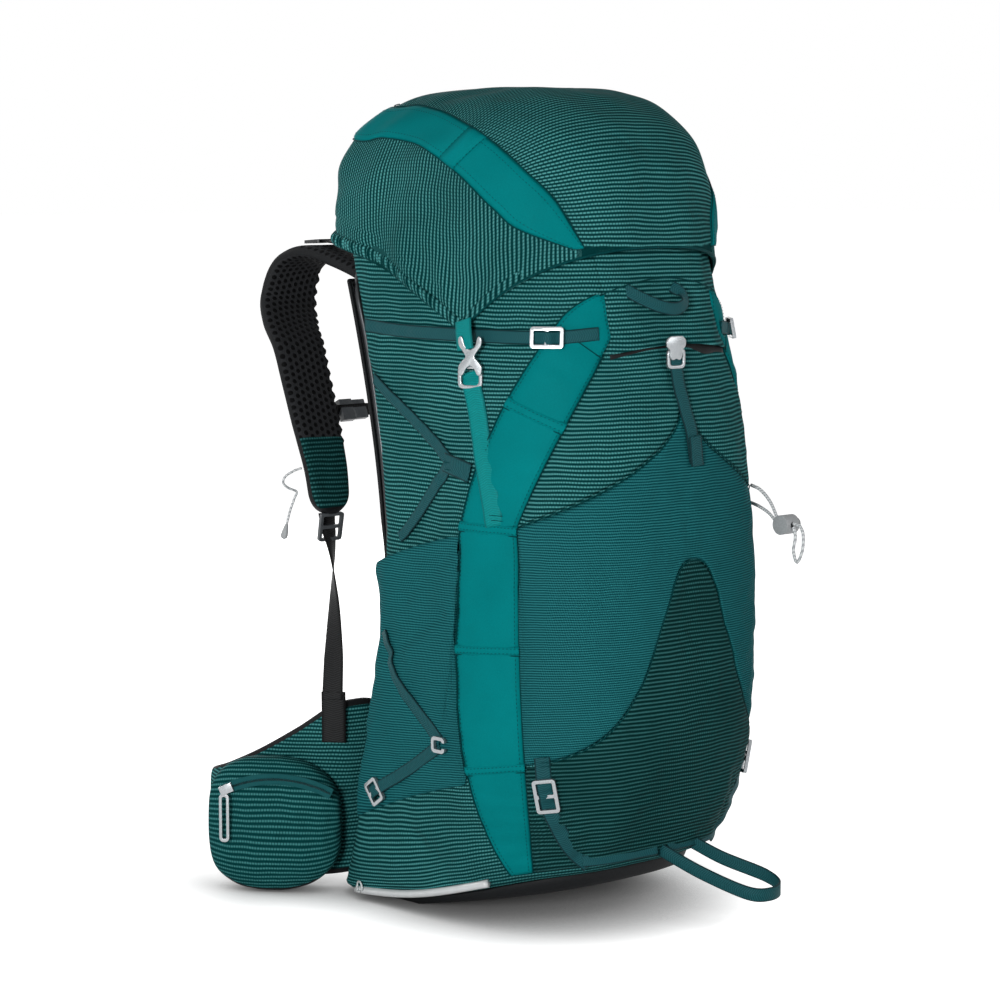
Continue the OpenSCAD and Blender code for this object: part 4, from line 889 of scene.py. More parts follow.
def tape_mesh(name, centre, normal, width, material, thick=1.4):
    run = unit_rows(np.gradient(centre, axis=0))
    normal = unit_rows(normal - run * (normal * run).sum(1, keepdims=True))
    side = np.cross(run, normal)
    w, t = width / 2, thick / 2
    profile = [(-w, 0), (-w + 0.5, t), (-w / 2, t), (0, t), (w / 2, t), (w - 0.5, t), (w, 0), (w - 0.5, -t),
        (0, -t), (-w + 0.5, -t)]
    rings = [[c + s * x + n * y for x, y in profile] for c, s, n in zip(centre, side, normal)]
    along = arc_length(centre)
    uv = [(x / w, v) for v in along for x, _ in profile]
    return mesh_piece(name, *ring_mesh(rings), material, uv)


def skin_route(points, count):
    line = smooth_path(points, count)
    centre = skin(line[:, 0], line[:, 1], line[:, 2])
    normal = skin(line[:, 0], line[:, 1], line[:, 2] + 1) - centre
    return centre, normal


def strap_on_bag(name, points, width, material, node, flip=False, count=60):
    centre, normal = skin_route(points, count)
    if flip:
        centre, normal = centre * MIRROR, normal * MIRROR
    made = tape_mesh(name, centre, normal, width, material)
    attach(made, "pack")
    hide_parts(node)


# Heights off the bag: on bare cloth, on a sewn panel, and over the bar of a lock.
BARE, ON_PANEL, OVER_BAR = 1.5, 3.4, 8.4
COMP_Z = 508
SIDE_W, LID_W, PAD_W, FOOT_W, POCKET_W = 11.4, 17, 13.4, 10, 14
for word, flip in SIDES:
    node = f"side_strap_{word}"
    runs = {
        "upper": [(152, 511, BARE), (164, 509, BARE), (178, COMP_Z, BARE), (204, COMP_Z, BARE + 1),
            (222, COMP_Z, ON_PANEL + 1), (229, COMP_Z, ON_PANEL + 1), (232, COMP_Z, OVER_BAR),
            (235, COMP_Z, ON_PANEL + 1), (242, 510, ON_PANEL), (246, 511, ON_PANEL)],
        "zig": [(152, 465, BARE), (173, 432, BARE), (190, 404, BARE + 0.6)],
        "zag": [(190, 398, BARE + 0.6), (176, 368, BARE), (163, 332, ON_PANEL + 1)],
        "low_zig": [(156, 246, ON_PANEL), (165, 208, ON_PANEL), (178, 180, ON_PANEL),
            (193, 151, ON_PANEL + 0.6)],
        "low_zag": [(193, 147, ON_PANEL + 0.6), (181, 126, ON_PANEL), (170, 108, ON_PANEL + 1),
            (166, 100, OVER_BAR), (163, 93, ON_PANEL)],
    }
    for part, points in runs.items():
        strap_on_bag(f"side_strap_{part}_{word}", points, SIDE_W, teal_tape, node, flip)
    strap_on_bag(f"side_tab_{word}", [(188, 401, 2.4), (194, 398, 2.8), (200, 394, 3.4)], 17, teal_tape,
        node, flip, count=16)
    strap_on_bag(f"lid_strap_run_{word}", [(208, 352, ON_PANEL), (206, 410, BARE + 1),
        (206, 446, BARE + 1), (206, 462, BARE + 2), (206, 478, BARE + 2.2)], LID_W, light_tape,
        f"lid_strap_{word}", flip)
    strap_on_bag(f"pad_strap_run_{word}", [(228, 138, ON_PANEL), (230, 110, ON_PANEL + 1),
        (231, 100, OVER_BAR), (232, 90, ON_PANEL + 1), (234, 76, ON_PANEL), (240, 44, ON_PANEL),
        (247, 20, ON_PANEL - 1.4)], PAD_W, teal_tape, f"pad_strap_{word}", flip)
    strap_on_bag(f"pad_strap_edge_{word}", [(245, 25, ON_PANEL - 0.6), (251, 24, ON_PANEL - 0.4),
        (258, 24, ON_PANEL - 0.4), (268, 24, ON_PANEL - 0.6)], FOOT_W, teal_tape,
        f"pad_strap_{word}", flip)

strap_on_bag("pocket_strap_run", [(272.6, 402, ON_PANEL), (271.2, 430, ON_PANEL + 1),
    (269.2, 462, ON_PANEL + 2), (268.2, 478, ON_PANEL + 3), (267.6, 490, ON_PANEL + 5)], POCKET_W,
    teal_tape, "pocket_strap")
strap_on_bag("pocket_strap_end", [(272.7, 399, 5.0), (272.4, 412, 5.6), (272, 424, 6.2)], 15, teal_tape,
    "pocket_strap", count=14)
strap_on_bag("grab_loop_tape", [(256, 547, 3), (260, 539, 9), (265, 532, 14), (270, 530, 15),
    (274, 534, 13), (275, 542, 8), (273, 548, 3)], 11, teal_tape, "grab_loop")

# Short rows of thread tack down the sewn ends of the straps.
tack_rows = [(208, 357, 4.4, 2.9), (208, 361, 4.4, 2.9), (228.2, 133, 4.4, 2.2), (228.4, 129, 4.4, 2.2),
    (190, 401, 3.6, 1.2), (190, 395, 3.6, 1.2)]
tacks = []
for angle, z, off, half in tack_rows:
    across = np.linspace(angle - half, angle + half, 9)
    tacks.append(skin(across, np.full(9, float(z)), off))
tacks += [line * MIRROR for line in tacks]
stitched("strap_tacks", tacks, "pack", thread, spacing=1.5, length=1.5, width=0.8)

# Ice-axe loop: one length of the same webbing, sewn by both ends at the front of the foot. It is stiff
# enough to stand open on edge.
axe_root = skin(274, 22, 0.4, folds=False)
axe_offsets = np.array([[40, -24, -12], [58, -58, -24], [52, -80, -29], [32, -88, -30], [14, -78, -28],
    [0, -38, -16]])
axe_ends = skin([283, 270], 22, 0.4, folds=False)
axe_line = smooth_path(np.vstack([axe_ends[:1], axe_root + axe_offsets, axe_ends[1:]]), 70)
axe = tape_mesh("axe_loop_tape", axe_line, np.cross(np.gradient(axe_line, axis=0), [0, 0, 1.0]), 12,
    teal_tape, 1.6)
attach(axe, "pack")
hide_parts("ice_axe_loop")

# Buckles: ladder-locks, frames and hooks, injection moulded in silver, grey or black plastic. The straps
# run over their bars, and every edge is rounded as it leaves the mould.

# Silver plastic: metal flake in it gives a bright shine and a slightly speckled tone.
silver = grained("silver moulded plastic", "#8E9295", "#B0B4B7", 1.43, {"Roughness": 0.26, "Metallic": 0.8})

# Black plastic: dark and satin, with a faint grain.
black_plastic = grained("black moulded plastic", "#1A1B1C", "#2E3032", 1.11, {"Roughness": 0.4})

# Dark grey acetal: a mid tone, a little shinier than the black.
dark_grey = grained("dark grey moulded acetal", "#414447", "#5C6063", 1.25, {"Roughness": 0.35})


def round_edges(data, edge):
    work = bmesh.new()
    work.from_mesh(data)
    bmesh.ops.remove_doubles(work, verts=work.verts, dist=1e-6)
    bmesh.ops.dissolve_limit(work, angle_limit=math.radians(1), verts=work.verts, edges=work.edges)
    sharp = [e for e in work.edges if len(e.link_faces) == 2 and e.calc_face_angle() > math.radians(35)]
    bmesh.ops.bevel(work, geom=sharp, offset=edge * MM, segments=3, affect="EDGES", clamp_overlap=True,
        profile=0.5)
    work.to_mesh(data)
    work.free()
    data.polygons.foreach_set("use_smooth", [True] * len(data.polygons))
    data.set_sharp_from_angle(angle=math.radians(50))


def moulded(node, body, material, edge=0.6):
    # The shape of the CAD node is kept, with its edges rounded.
    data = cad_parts[node].data.copy()
    data.materials.clear()
    data.materials.append(material)
    round_edges(data, edge)
    made = bpy.data.objects.new(f"{node}_moulded", data)
    scene.collection.objects.link(made)
    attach(made, body)
    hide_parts(node)
    return made


def buckle_plate(name, node, body, outer, hole, angle, z, off, thick, flip=False):
    origin = skin(angle, z, off, folds=False)
    out = unit_rows(skin(angle, z, off + 1, folds=False) - origin)
    up = unit_rows(np.array([0, 0, 1.0]) - out * out[2])
    right = np.cross(up, out)
    verts, faces, n = [], [], len(outer)
    for loop in [outer] + ([hole] if hole is not None else []):
        for lift in (0, thick):
            verts += [origin + right * x + up * y + out * lift for x, y in loop]
    for i in range(n):
        k = (i + 1) % n
        faces.append((i, k, n + k, n + i))
        if hole is not None:
            faces.append((2 * n + k, 2 * n + i, 3 * n + i, 3 * n + k))
            faces.append((n + i, n + k, 3 * n + k, 3 * n + i))
            faces.append((k, i, 2 * n + i, 2 * n + k))
    if hole is None:
        faces += [tuple(range(n))[::-1], tuple(range(n, 2 * n))]
    verts = np.array(verts)
    if flip:
        verts = verts * MIRROR
        faces = [f[::-1] for f in faces]
    made = mesh_piece(name, verts, faces, silver)
    round_edges(made.data, 0.9)
    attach(made, body)
    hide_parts(node)


def rounded_frame(width, height, power=5, count=48):
    t = np.linspace(0, math.tau, count, endpoint=False)
    c, s = np.cos(t), np.sin(t)
    r = (np.abs(c) ** power + np.abs(s) ** power) ** (-1 / power)
    return np.stack([r * c * width / 2, r * s * height / 2], -1)


def hook_outline(half):
    whole = np.array(half + [(-x, y) for x, y in half[-2:0:-1]], float)
    return smooth_path(np.vstack([whole, whole[:1]]), 97)[:-1]


lid_hook = hook_outline([(0, 4), (3.4, 1.4), (6.5, -4), (9.6, -3.6), (10.4, 2.6), (7.4, 7), (4.0, 11),
    (6.2, 15.4), (9.6, 20), (10.4, 25.6), (8.2, 28.2), (6.2, 26), (4.8, 21), (0, 17.2)])
pocket_hook = hook_outline([(0, -4), (4, -5), (6.6, -2), (7, 3), (10, 6), (10.6, 11), (7, 14.6), (0, 15)])
for word, flip in SIDES:
    buckle_plate(f"lid_frame_{word}", "lid_buckle_frames", "pack", rounded_frame(22, 20),
        rounded_frame(15.6, 13.4), 206, 474, 3.8, 3.2, flip)
    buckle_plate(f"lid_hook_{word}", "lid_buckle_prongs", "lid", lid_hook, None, 207, 480, 7.2, 3.0, flip)
buckle_plate("pocket_frame", "pocket_buckle", "pack", rounded_frame(20, 17), rounded_frame(14, 11), 267.6,
    489, 8.2, 3.2)
buckle_plate("pocket_hook", "pocket_buckle", "pack", pocket_hook, None, 267.0, 493, 11.6, 2.6)
for node in ("side_locks", "pad_locks"):
    moulded(node, "pack", silver, 1.1)
moulded("tie_cord_lock", "pack", moulded_grey)
moulded("tie_cord_button", "cord_button", moulded_grey, 0.4)
moulded("shoulder_locks", "harness", dark_grey)
for node in ("sternum_sliders", "sternum_socket", "sternum_plug"):
    moulded(node, "sternum", dark_grey)
moulded("hip_buckle_socket", "hip_left", black_plastic, 0.5)
moulded("hip_buckle_plug", "hip_right", black_plastic, 0.5)

# The lifters' locks are kept from their node, and its webbing is cut away: a woven tape takes its place.
LIFTER_LOCK_Y = 264.95
locks = moulded("load_lifters", "pack", black_plastic, 0.4)
work = bmesh.new()
work.from_mesh(locks.data)
bmesh.ops.delete(work, geom=[v for v in work.verts if v.co.y < LIFTER_LOCK_Y * MM], context="VERTS")
work.to_mesh(locks.data)
work.free()

# Pole loop: an elastic cord in a clear vinyl sleeve lies along the left foot of the bag. Its rear end
# is turned into a small ring.

# Clear vinyl: glossy and milky, scuffed in places by the ground.
clear_sleeve, tree = blank_material("clear vinyl sleeve")
place = add(tree, "ShaderNodeTexCoord")
scuff = add(tree, "ShaderNodeTexNoise", {"Vector": place.outputs["Object"], "Scale": per_metre(8.33),
    "Detail": 3})
tone = add(tree, "ShaderNodeMix", {0: scuff.outputs["Fac"], 6: srgb("#D2D6D7"), 7: srgb("#E8EAEB")},
    data_type="RGBA")
dull = add(tree, "ShaderNodeMapRange", {"Value": scuff.outputs["Fac"], "To Min": 0.04, "To Max": 0.24})
vinyl = add(tree, "ShaderNodeBsdfPrincipled", {"Base Color": tone.outputs[2], "Roughness": dull.outputs[0],
    "Coat Weight": 0.8, "Transmission Weight": 0.2})
add(tree, "ShaderNodeOutputMaterial", {"Surface": vinyl.outputs[0]})

pole_angles = np.linspace(158, 220, 40)
sleeve = tube_mesh("pole_loop_sleeve", [skin(pole_angles, 14, 1.8, folds=False)], 3.5, clear_sleeve, 16)
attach(sleeve, "pack")
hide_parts("pole_loop")
sleeve_end = skin(161, 20, 4.4, folds=False)
sleeve_out = unit_rows(skin(161, 20, 5.4, folds=False) - sleeve_end)
sleeve_side = np.cross([0, 0, 1.0], sleeve_out)
spin = np.linspace(-0.5, 5.4, 40)[:, None]
circle = np.cos(spin) * sleeve_side + np.sin(spin) * np.array([0, 0, 1.0])
ring = sleeve_end + 4.6 * circle + sleeve_out * 0.3 * spin
knot = tube_mesh("pole_loop_knot", [ring], 0.9, clear_sleeve)
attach(knot, "pack")

# Lid: a gathered hood of the striped cloth with two sweeping bands of the light cloth, turned in at an
# elastic hem. Below each side's hem a webbing tab carries a hooked buckle.
LID_HALF_W, LID_HALF_D = 141.24, 146.9
LID_SHOULDER, LID_RISE, LID_TOP = 560, 156, 715.9


def lid_ring(angle, z, off=0.0):
    angle, z = np.broadcast_arrays(np.asarray(angle, float), np.asarray(z, float))
    u = np.clip((z - LID_SHOULDER) / LID_RISE, 0, 0.9999)
    s = (1 - u**3.2) ** (1 / 3.2)
    y0 = 62.1 + 4 * u
    drop = 0.35 * np.maximum(0, LID_SHOULDER - z)
    rear, front = y0 + LID_HALF_D * s, y0 - LID_HALF_D * s - drop
    x, y = outline(angle, LID_HALF_W * s, rear, front, 0.72 * LID_HALF_D * s, off, 5)
    return np.stack([x, y, z + off * u**3], -1)


def lid_hem(angle):
    d = from_front(angle)
    front = 580 - 70 * (np.minimum(d, 56) / 56) ** 2.6
    rear = 510 + 76 * (1 - (1 - np.maximum(d - 56, 0) / 124) ** 3.3)
    return np.where(d < 56, front, rear)


def lid_folds(angle, z):
    d = from_front(angle)
    angle = 270 - d
    side = np.clip((d - 30) / 25, 0, 1) * np.clip((150 - d) / 25, 0, 1)
    above = z - lid_hem(angle)
    place = lid_ring(angle, z)
    calm = np.clip((710 - z) / 30, 0, 1)
    near_hem = np.clip(1 - above / 24, 0, 1)
    ruffle = np.sin(angle * 2.1 * FULL_TURN / 6.5 + 2.5 * np.sin(angle * 0.31)) * near_hem
    groove = np.exp(-(((above - 11) / 1.6) ** 2)) + np.exp(-(((above - 22) / 1.6) ** 2))
    fan = np.arctan2(2.2 * (angle - 214), above + 16)
    reach = np.hypot(2.2 * (angle - 214), above + 16)
    gather = 1.7 * np.sin(11 * fan + 1.2 * np.sin(3 * fan)) * np.exp(-(((reach - 52) / 40) ** 2))
    soft = 2.5 * rumple(angle * 2.2, z / 2.4, 46, 21) * side + 0.9 * rumple(angle * 1.2, z, 44, 22) + gather
    soft = soft * calm + 1.1 * rumple(place[..., 0], place[..., 1], 62, 23) * (1 - calm)
    return soft + side * (0.7 * ruffle - 0.9 * groove) * np.clip(above / 4, 0.2, 1)


BAND_OUTER = [(140, 672), (158, 669), (170, 671), (192, 665), (211, 643), (223, 615), (230, 597),
    (244, 580)]
BAND_INNER = [(140, 701), (154, 699), (174, 699), (202, 690), (222, 669), (234, 640), (241, 616),
    (247, 581)]
BAND_ROWS, BAND_COLS = 13, 60
outer_line = smooth_path(BAND_OUTER, BAND_COLS)
inner_line = smooth_path(BAND_INNER, BAND_COLS)
mid_line = (outer_line + inner_line) / 2

LID_ROWS = 84
LID_MID = (64, 600)

# Where the stripes of the crown start, so that a dark row lies along the front hem, and their scale.
STRIPE_START = 901.8
STRIPE_SCALE = 0.94

share = np.linspace(0, 1, LID_ROWS)[:, None]
a_grid = angles[None, :] * np.ones_like(share)
hem = lid_hem(a_grid)
z_grid = hem + (LID_TOP - hem) * np.sin(share * math.pi / 2)
shell_out = lid_ring(a_grid, z_grid, lid_folds(a_grid, z_grid))
turned = [lid_ring(angles, lid_hem(angles) - 0.8, -1.2), lid_ring(angles, lid_hem(angles) + 0.6, -2.6)]
inside = [lid_ring(angles, lid_hem(angles) + (690 - lid_hem(angles)) * math.sin(k), -3.2)
    for k in np.linspace(0.1, 1.3, 14)]
rows = np.concatenate([np.array(inside[::-1] + turned[::-1]), shell_out])
first = len(inside) + len(turned)
fold = 270 - from_front(a_grid)
band_z = np.interp(fold, mid_line[:, 0], mid_line[:, 1], left=760, right=0)
on_side = (z_grid < band_z) & (fold > 128)
steps = np.linalg.norm(np.diff(shell_out, axis=0), axis=2)
meridian = np.concatenate([np.zeros((1, COLS)), np.cumsum(steps, axis=0)])
around = arc_length(lid_ring(angles, 560.0))[None, :]
middle = np.vstack([shell_out[:, COLS * 3 // 4], shell_out[::-1, COLS // 4]])
lean = np.unwrap(np.arctan2(middle[:, 2] - LID_MID[1], LID_MID[0] - middle[:, 1]))
run = arc_length(middle)
turn = np.arctan2(shell_out[..., 2] - LID_MID[1], LID_MID[0] - shell_out[..., 1])
turn = np.where(turn < -1.5, turn + math.tau, turn)
u = np.where(on_side, meridian, shell_out[..., 0])
v = np.where(on_side, around * np.ones_like(share), STRIPE_START + np.interp(turn, lean, run))
uv_out = STRIPE_SCALE * np.stack([u, v], -1).reshape(-1, 2)
uv_in = np.zeros((first * COLS, 2))
verts = np.vstack([rows.reshape(-1, 3), shell_out[-1].mean(0) + [0, 0, 0.3], rows[0].mean(0)])
faces = grid_faces(len(rows), COLS, wrap=True)
crown = len(verts) - 2
last = (len(rows) - 1) * COLS
faces += [(crown, last + j, last + (j + 1) % COLS) for j in range(COLS)]
faces += [(crown + 1, (j + 1) % COLS, j) for j in range(COLS)]
crown_v = STRIPE_SCALE * (STRIPE_START + np.interp(math.pi / 2, lean, run))
uv = np.vstack([uv_in, uv_out, [[0, crown_v], [0, 0]]])
lid = mesh_piece("lid_hood", verts, faces, stripe, uv)
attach(lid, "lid")
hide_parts("lid_shell")

# A short tape crosses each band over these columns of its mesh.
CROSS = slice(30, 34)
HEM_ROWS, HEM_COLS = 9, 420
share = np.linspace(0, 1, BAND_ROWS)[:, None]
band_a = outer_line[None, :, 0] * (1 - share) + inner_line[None, :, 0] * share
band_z = outer_line[None, :, 1] * (1 - share) + inner_line[None, :, 1] * share
off = 0.4 + 2.0 * seam_dip(share, 0.14) + lid_folds(band_a, band_z)
band = lid_ring(band_a, band_z, off)
for word, flip in SIDES:
    p = band * MIRROR if flip else band
    faces = handed_faces(BAND_ROWS, BAND_COLS, flip)
    band_u = share * 30 * np.ones((1, BAND_COLS))
    band_v = np.linspace(0, 220, BAND_COLS)[None, :] * np.ones((BAND_ROWS, 1))
    uv = np.stack([band_u, band_v], -1).reshape(-1, 2)
    made = mesh_piece(f"lid_band_{word}", p.reshape(-1, 3), faces, taslan, uv)
    thicken(made, "cloth thickness", 1.2)
    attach(made, "lid")
    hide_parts("lid_bands")
    # The dark cords along the bands' edges are painted shadow, standing for the shade in their seams.
    lid_seam_shadow_lines = [lid_ring(line[:, 0], line[:, 1], 1.1 + lid_folds(line[:, 0], line[:, 1]))
        for line in (outer_line, inner_line)]
    lid_rows = [band[2], band[-3]]
    cross_out = lid_ring(band_a[:, CROSS], band_z[:, CROSS], off[:, CROSS] + 0.9)
    lid_rows += [cross_out[:, 0], cross_out[:, -1]]
    hem_angles = np.linspace(96, 270, 260)
    hem_fold = lid_folds(hem_angles, lid_hem(hem_angles) + 1) - 0.4
    roll = lid_ring(hem_angles, lid_hem(hem_angles) + 0.6, hem_fold)
    if flip:
        lid_seam_shadow_lines = [line * MIRROR for line in lid_seam_shadow_lines]
        lid_rows = [line * MIRROR for line in lid_rows]
        cross_out = cross_out * MIRROR
        roll = roll * MIRROR
    seams = tube_mesh(f"lid_seam_shadow_line_{word}", lid_seam_shadow_lines, 0.5, thread)
    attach(seams, "lid")
    stitched(f"lid_stitches_{word}", lid_rows, "lid", thread)
    # The dark roll along the hem is partly its piping and partly painted shadow under the hem.
    hem_roll_and_shadow = tube_mesh(f"lid_hem_roll_{word}", [roll], 1.2, thread)
    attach(hem_roll_and_shadow, "lid")
    hem_a = np.linspace(104, 232, HEM_COLS)[None, :] * np.ones((HEM_ROWS, 1))
    hem_up = np.linspace(0.4, 10.5, HEM_ROWS)[:, None]
    crest = np.sin(np.linspace(0, math.pi, HEM_ROWS))[:, None]
    gather = np.sin(hem_a * 2.9 + 1.5 * np.sin(hem_a * 0.4)) * crest
    fade = np.clip((232 - hem_a) / 20, 0, 1)
    bulge = 0.5 + 1.3 * np.sin(np.linspace(0.2, 2.9, HEM_ROWS))[:, None]
    puff = lid_folds(hem_a, lid_hem(hem_a) + hem_up) + bulge * fade
    hem_p = lid_ring(hem_a, lid_hem(hem_a) + hem_up, puff + 0.7 * gather * fade)
    hem_uv = np.stack([hem_up * np.ones_like(hem_a), hem_a * 2.2], -1).reshape(-1, 2)
    hem_faces = handed_faces(HEM_ROWS, HEM_COLS, flip)
    hem_p = hem_p * MIRROR if flip else hem_p
    channel = mesh_piece(f"lid_hem_channel_{word}", hem_p.reshape(-1, 3), hem_faces, stripe, hem_uv)
    thicken(channel, "cloth thickness", 0.8)
    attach(channel, "lid")
    cross_faces = handed_faces(BAND_ROWS, cross_out.shape[1], flip)
    tape = mesh_piece(f"lid_cross_tape_{word}", cross_out.reshape(-1, 3), cross_faces, taslan)
    thicken(tape, "cloth thickness", 1.2)
    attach(tape, "lid")
    tab_line = smooth_path([(-138.8, 6, 521), (-141, 3, 512), (-142.2, 0.5, 504), (-142.6, -1, 497)], 24)
    tab_out = np.array([[-1, -0.12, 0.05]] * len(tab_line))
    if flip:
        tab_line, tab_out = tab_line * MIRROR, tab_out * MIRROR
    tab = tape_mesh(f"lid_tab_{word}", tab_line, tab_out, 18, light_tape)
    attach(tab, "lid")
    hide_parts("lid_bands")

# Back: a bent wire hoop carries a stretched mesh, so that air passes behind the wearer. The yoke, the
# haul loop, the lid's cloth hinge and the lumbar pad are fixed here too.

# Anodised wire: a dark satin metal, with drawing marks that break up its shine.
aluminium, tree = blank_material("anodised aluminium wire")
place = add(tree, "ShaderNodeTexCoord")
drawn = add(tree, "ShaderNodeTexNoise", {"Vector": place.outputs["Object"], "Scale": per_metre(3.33),
    "Detail": 3})
tone = add(tree, "ShaderNodeMix", {0: drawn.outputs["Fac"], 6: srgb("#323436"), 7: srgb("#434547")},
    data_type="RGBA")
dull = add(tree, "ShaderNodeMapRange", {"Value": drawn.outputs["Fac"], "To Min": 0.25, "To Max": 0.45})
wire = add(tree, "ShaderNodeBsdfPrincipled", {"Base Color": tone.outputs[2], "Metallic": 0.9,
    "Roughness": dull.outputs[0]})
add(tree, "ShaderNodeOutputMaterial", {"Surface": wire.outputs[0]})

hoop_z = np.linspace(72, 540, 60)
rise = skin(np.interp(hoop_z, [72, 340], [140.5, 144]), hoop_z, 3.4, folds=False)
bow = skin([138, 126, 108], [562, 574, 578], 3.4, folds=False)
hoop_points = np.vstack([rise[::6], rise[-1:], bow, (bow * MIRROR)[::-1], (rise[-1:] * MIRROR),
    (rise[::6] * MIRROR)[::-1]])
hoop = tube_mesh("frame_hoop_wire", [smooth_path(hoop_points, 220)], 3, aluminium, 16)
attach(hoop, "pack")
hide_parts("frame_hoop")

# Waves of this many radians to a cell's width meet in six-sided cells.
HEX_WAVE = 7.25


def spacer_mesh(name, dark, pale, cell):
    # Knitted spacer mesh: dark holes between matt ribs. Three crossed waves make the cells, whose width
    # is given in millimetres.
    made, tree = blank_material(name)
    cloth = add(tree, "ShaderNodeUVMap", uv_map="cloth")
    total = None
    for turn in (0, 60, 120):
        slant = math.radians(turn)
        way = (math.cos(slant) * HEX_WAVE / cell, math.sin(slant) * HEX_WAVE / cell, 0)
        dot = add(tree, "ShaderNodeVectorMath", {0: cloth.outputs[0], 1: way}, operation="DOT_PRODUCT")
        wave = add(tree, "ShaderNodeMath", {0: dot.outputs["Value"]}, operation="COSINE")
        if total is None:
            total = wave
        else:
            total = add(tree, "ShaderNodeMath", {0: total.outputs[0], 1: wave.outputs[0]}, operation="ADD")
    hole = add(tree, "ShaderNodeMapRange", {"Value": total.outputs[0], "From Min": -0.4, "From Max": 1.6},
        interpolation_type="SMOOTHSTEP")
    shade = add(tree, "ShaderNodeMix", {0: hole.outputs[0], 6: srgb(pale), 7: srgb(dark)}, data_type="RGBA")
    deep = add(tree, "ShaderNodeMath", {0: hole.outputs[0], 1: -1.0}, operation="MULTIPLY")
    relief = add(tree, "ShaderNodeBump", {"Height": deep.outputs[0], "Distance": 1.6 * MM, "Strength": 0.8})
    knit = add(tree, "ShaderNodeBsdfPrincipled", {"Base Color": shade.outputs[2],
        "Normal": relief.outputs[0], "Roughness": 0.7, "Specular IOR Level": 0.05})
    add(tree, "ShaderNodeOutputMaterial", {"Surface": knit.outputs[0]})
    return made


black_mesh = spacer_mesh("black spacer mesh", "#0A0A0B", "#2C2D2F", 7)
fine_mesh = spacer_mesh("black back mesh", "#0C0C0D", "#36383B", 4.4)
z_back = np.linspace(78, 548, 90)[:, None] * np.ones((1, 73))
a_back = 90 + np.linspace(-1, 1, 73)[None, :] * np.interp(z_back, [78, 200, 340, 548], [46, 48, 53, 54])
p = skin(a_back, z_back, 8.0, folds=False)
uv = np.stack([p[..., 0], z_back], -1).reshape(-1, 2)
net = mesh_piece("back_mesh_net", p.reshape(-1, 3), grid_faces(90, 73), fine_mesh, uv)
thicken(net, "knit thickness", 1.4)
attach(net, "pack")
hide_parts("back_mesh")
bound = tube_mesh("back_mesh_binding", [p[0], p[-1], p[:, 0], p[:, -1]], 1.8, coated)
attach(bound, "pack")

# Charcoal thread: paler than the mesh, so that each stitch of the back shows.
grey_thread = grained("charcoal thread", "#3C3F42", "#585B5E", 2, {"Roughness": 0.6})
mesh_rows = [skin(a_back[row, 3:-3], z_back[row, 3:-3], 8.5, folds=False) for row in (2, -3)]
mesh_rows += [skin(a_back[:, col], z_back[:, col], 8.5, folds=False) for col in (3, -4)]
stitched("back_mesh_stitches", mesh_rows, "pack", grey_thread)

a_yoke = np.linspace(60, 120, 31)[None, :] * np.ones((22, 1))
z_yoke = np.linspace(505, 552, 22)[:, None] * np.ones((1, 31))
side_edge = seam_dip(np.linspace(0, 1, 31)[None, :], 0.1)
edge = np.minimum(side_edge, seam_dip(np.linspace(0, 1, 22)[:, None], 0.14))
p = skin(a_yoke, z_yoke, 9.2 + 4.4 * edge, folds=False)
yoke = mesh_piece("yoke_pad", p.reshape(-1, 3), grid_faces(22, 31), coated)
thicken(yoke, "pad thickness", 3)
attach(yoke, "pack")
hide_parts("yoke_plate")

haul_root = skin(90, 552, 11.1, folds=False)
haul_route = np.array([[-24, 0, 1.3], [-23, 4, 7], [-18, 12, 15], [0, 17, 19], [18, 12, 15], [23, 4, 7],
    [24, 0, 1.3]])
haul_line = haul_root + smooth_path(haul_route, 60)
haul = tape_mesh("haul_loop_tape", haul_line, np.cross([0, 1.0, 0], np.gradient(haul_line, axis=0)), 11,
    black_tape, 2.2)
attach(haul, "pack")
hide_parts("haul_loop")

hinge_low, hinge_high = [np.array(p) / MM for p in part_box("lid_hinge")]
hinge_y = np.linspace(hinge_low[1], hinge_high[1], 12)
hinge_z = hinge_low[2] + 0.7 - 1.2 * np.sin(np.linspace(0, math.pi, len(hinge_y)))
hinge_line = np.stack([np.zeros(len(hinge_y)), hinge_y, hinge_z], -1)
hinge = tape_mesh("lid_hinge_cloth", hinge_line, np.array([[0, 0, 1.0]] * len(hinge_y)), 120, coated)
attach(hinge, "pack")
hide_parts("lid_hinge")

LUMBAR_HALF_W, LUMBAR_HALF_H = 89, 55
x_pad = np.linspace(-1, 1, 61)[None, :] * np.ones((45, 1))
z_pad = np.linspace(-1, 1, 45)[:, None] * np.ones((1, 61))
plump = (1 - np.abs(x_pad) ** 5) ** 0.5 * (1 - np.abs(z_pad) ** 4) ** 0.5
quilt = np.exp(-(((np.abs(x_pad) - 0.34) / 0.05) ** 2)) * 2.6
base_line = skin(90, 121 + LUMBAR_HALF_H * z_pad, 8.6, folds=False)
stuffed = base_line[..., 1] + np.maximum(0.2, 14.6 * plump - quilt)
p = np.stack([LUMBAR_HALF_W * -x_pad, stuffed, base_line[..., 2]], -1)
uv = np.stack([LUMBAR_HALF_W * x_pad, LUMBAR_HALF_H * z_pad], -1).reshape(-1, 2)
lumbar = mesh_piece("lumbar_cushion", p.reshape(-1, 3), grid_faces(45, 61), black_mesh, uv)
thicken(lumbar, "backing", 0.8)
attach(lumbar, "pack")
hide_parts("lumbar_pad")

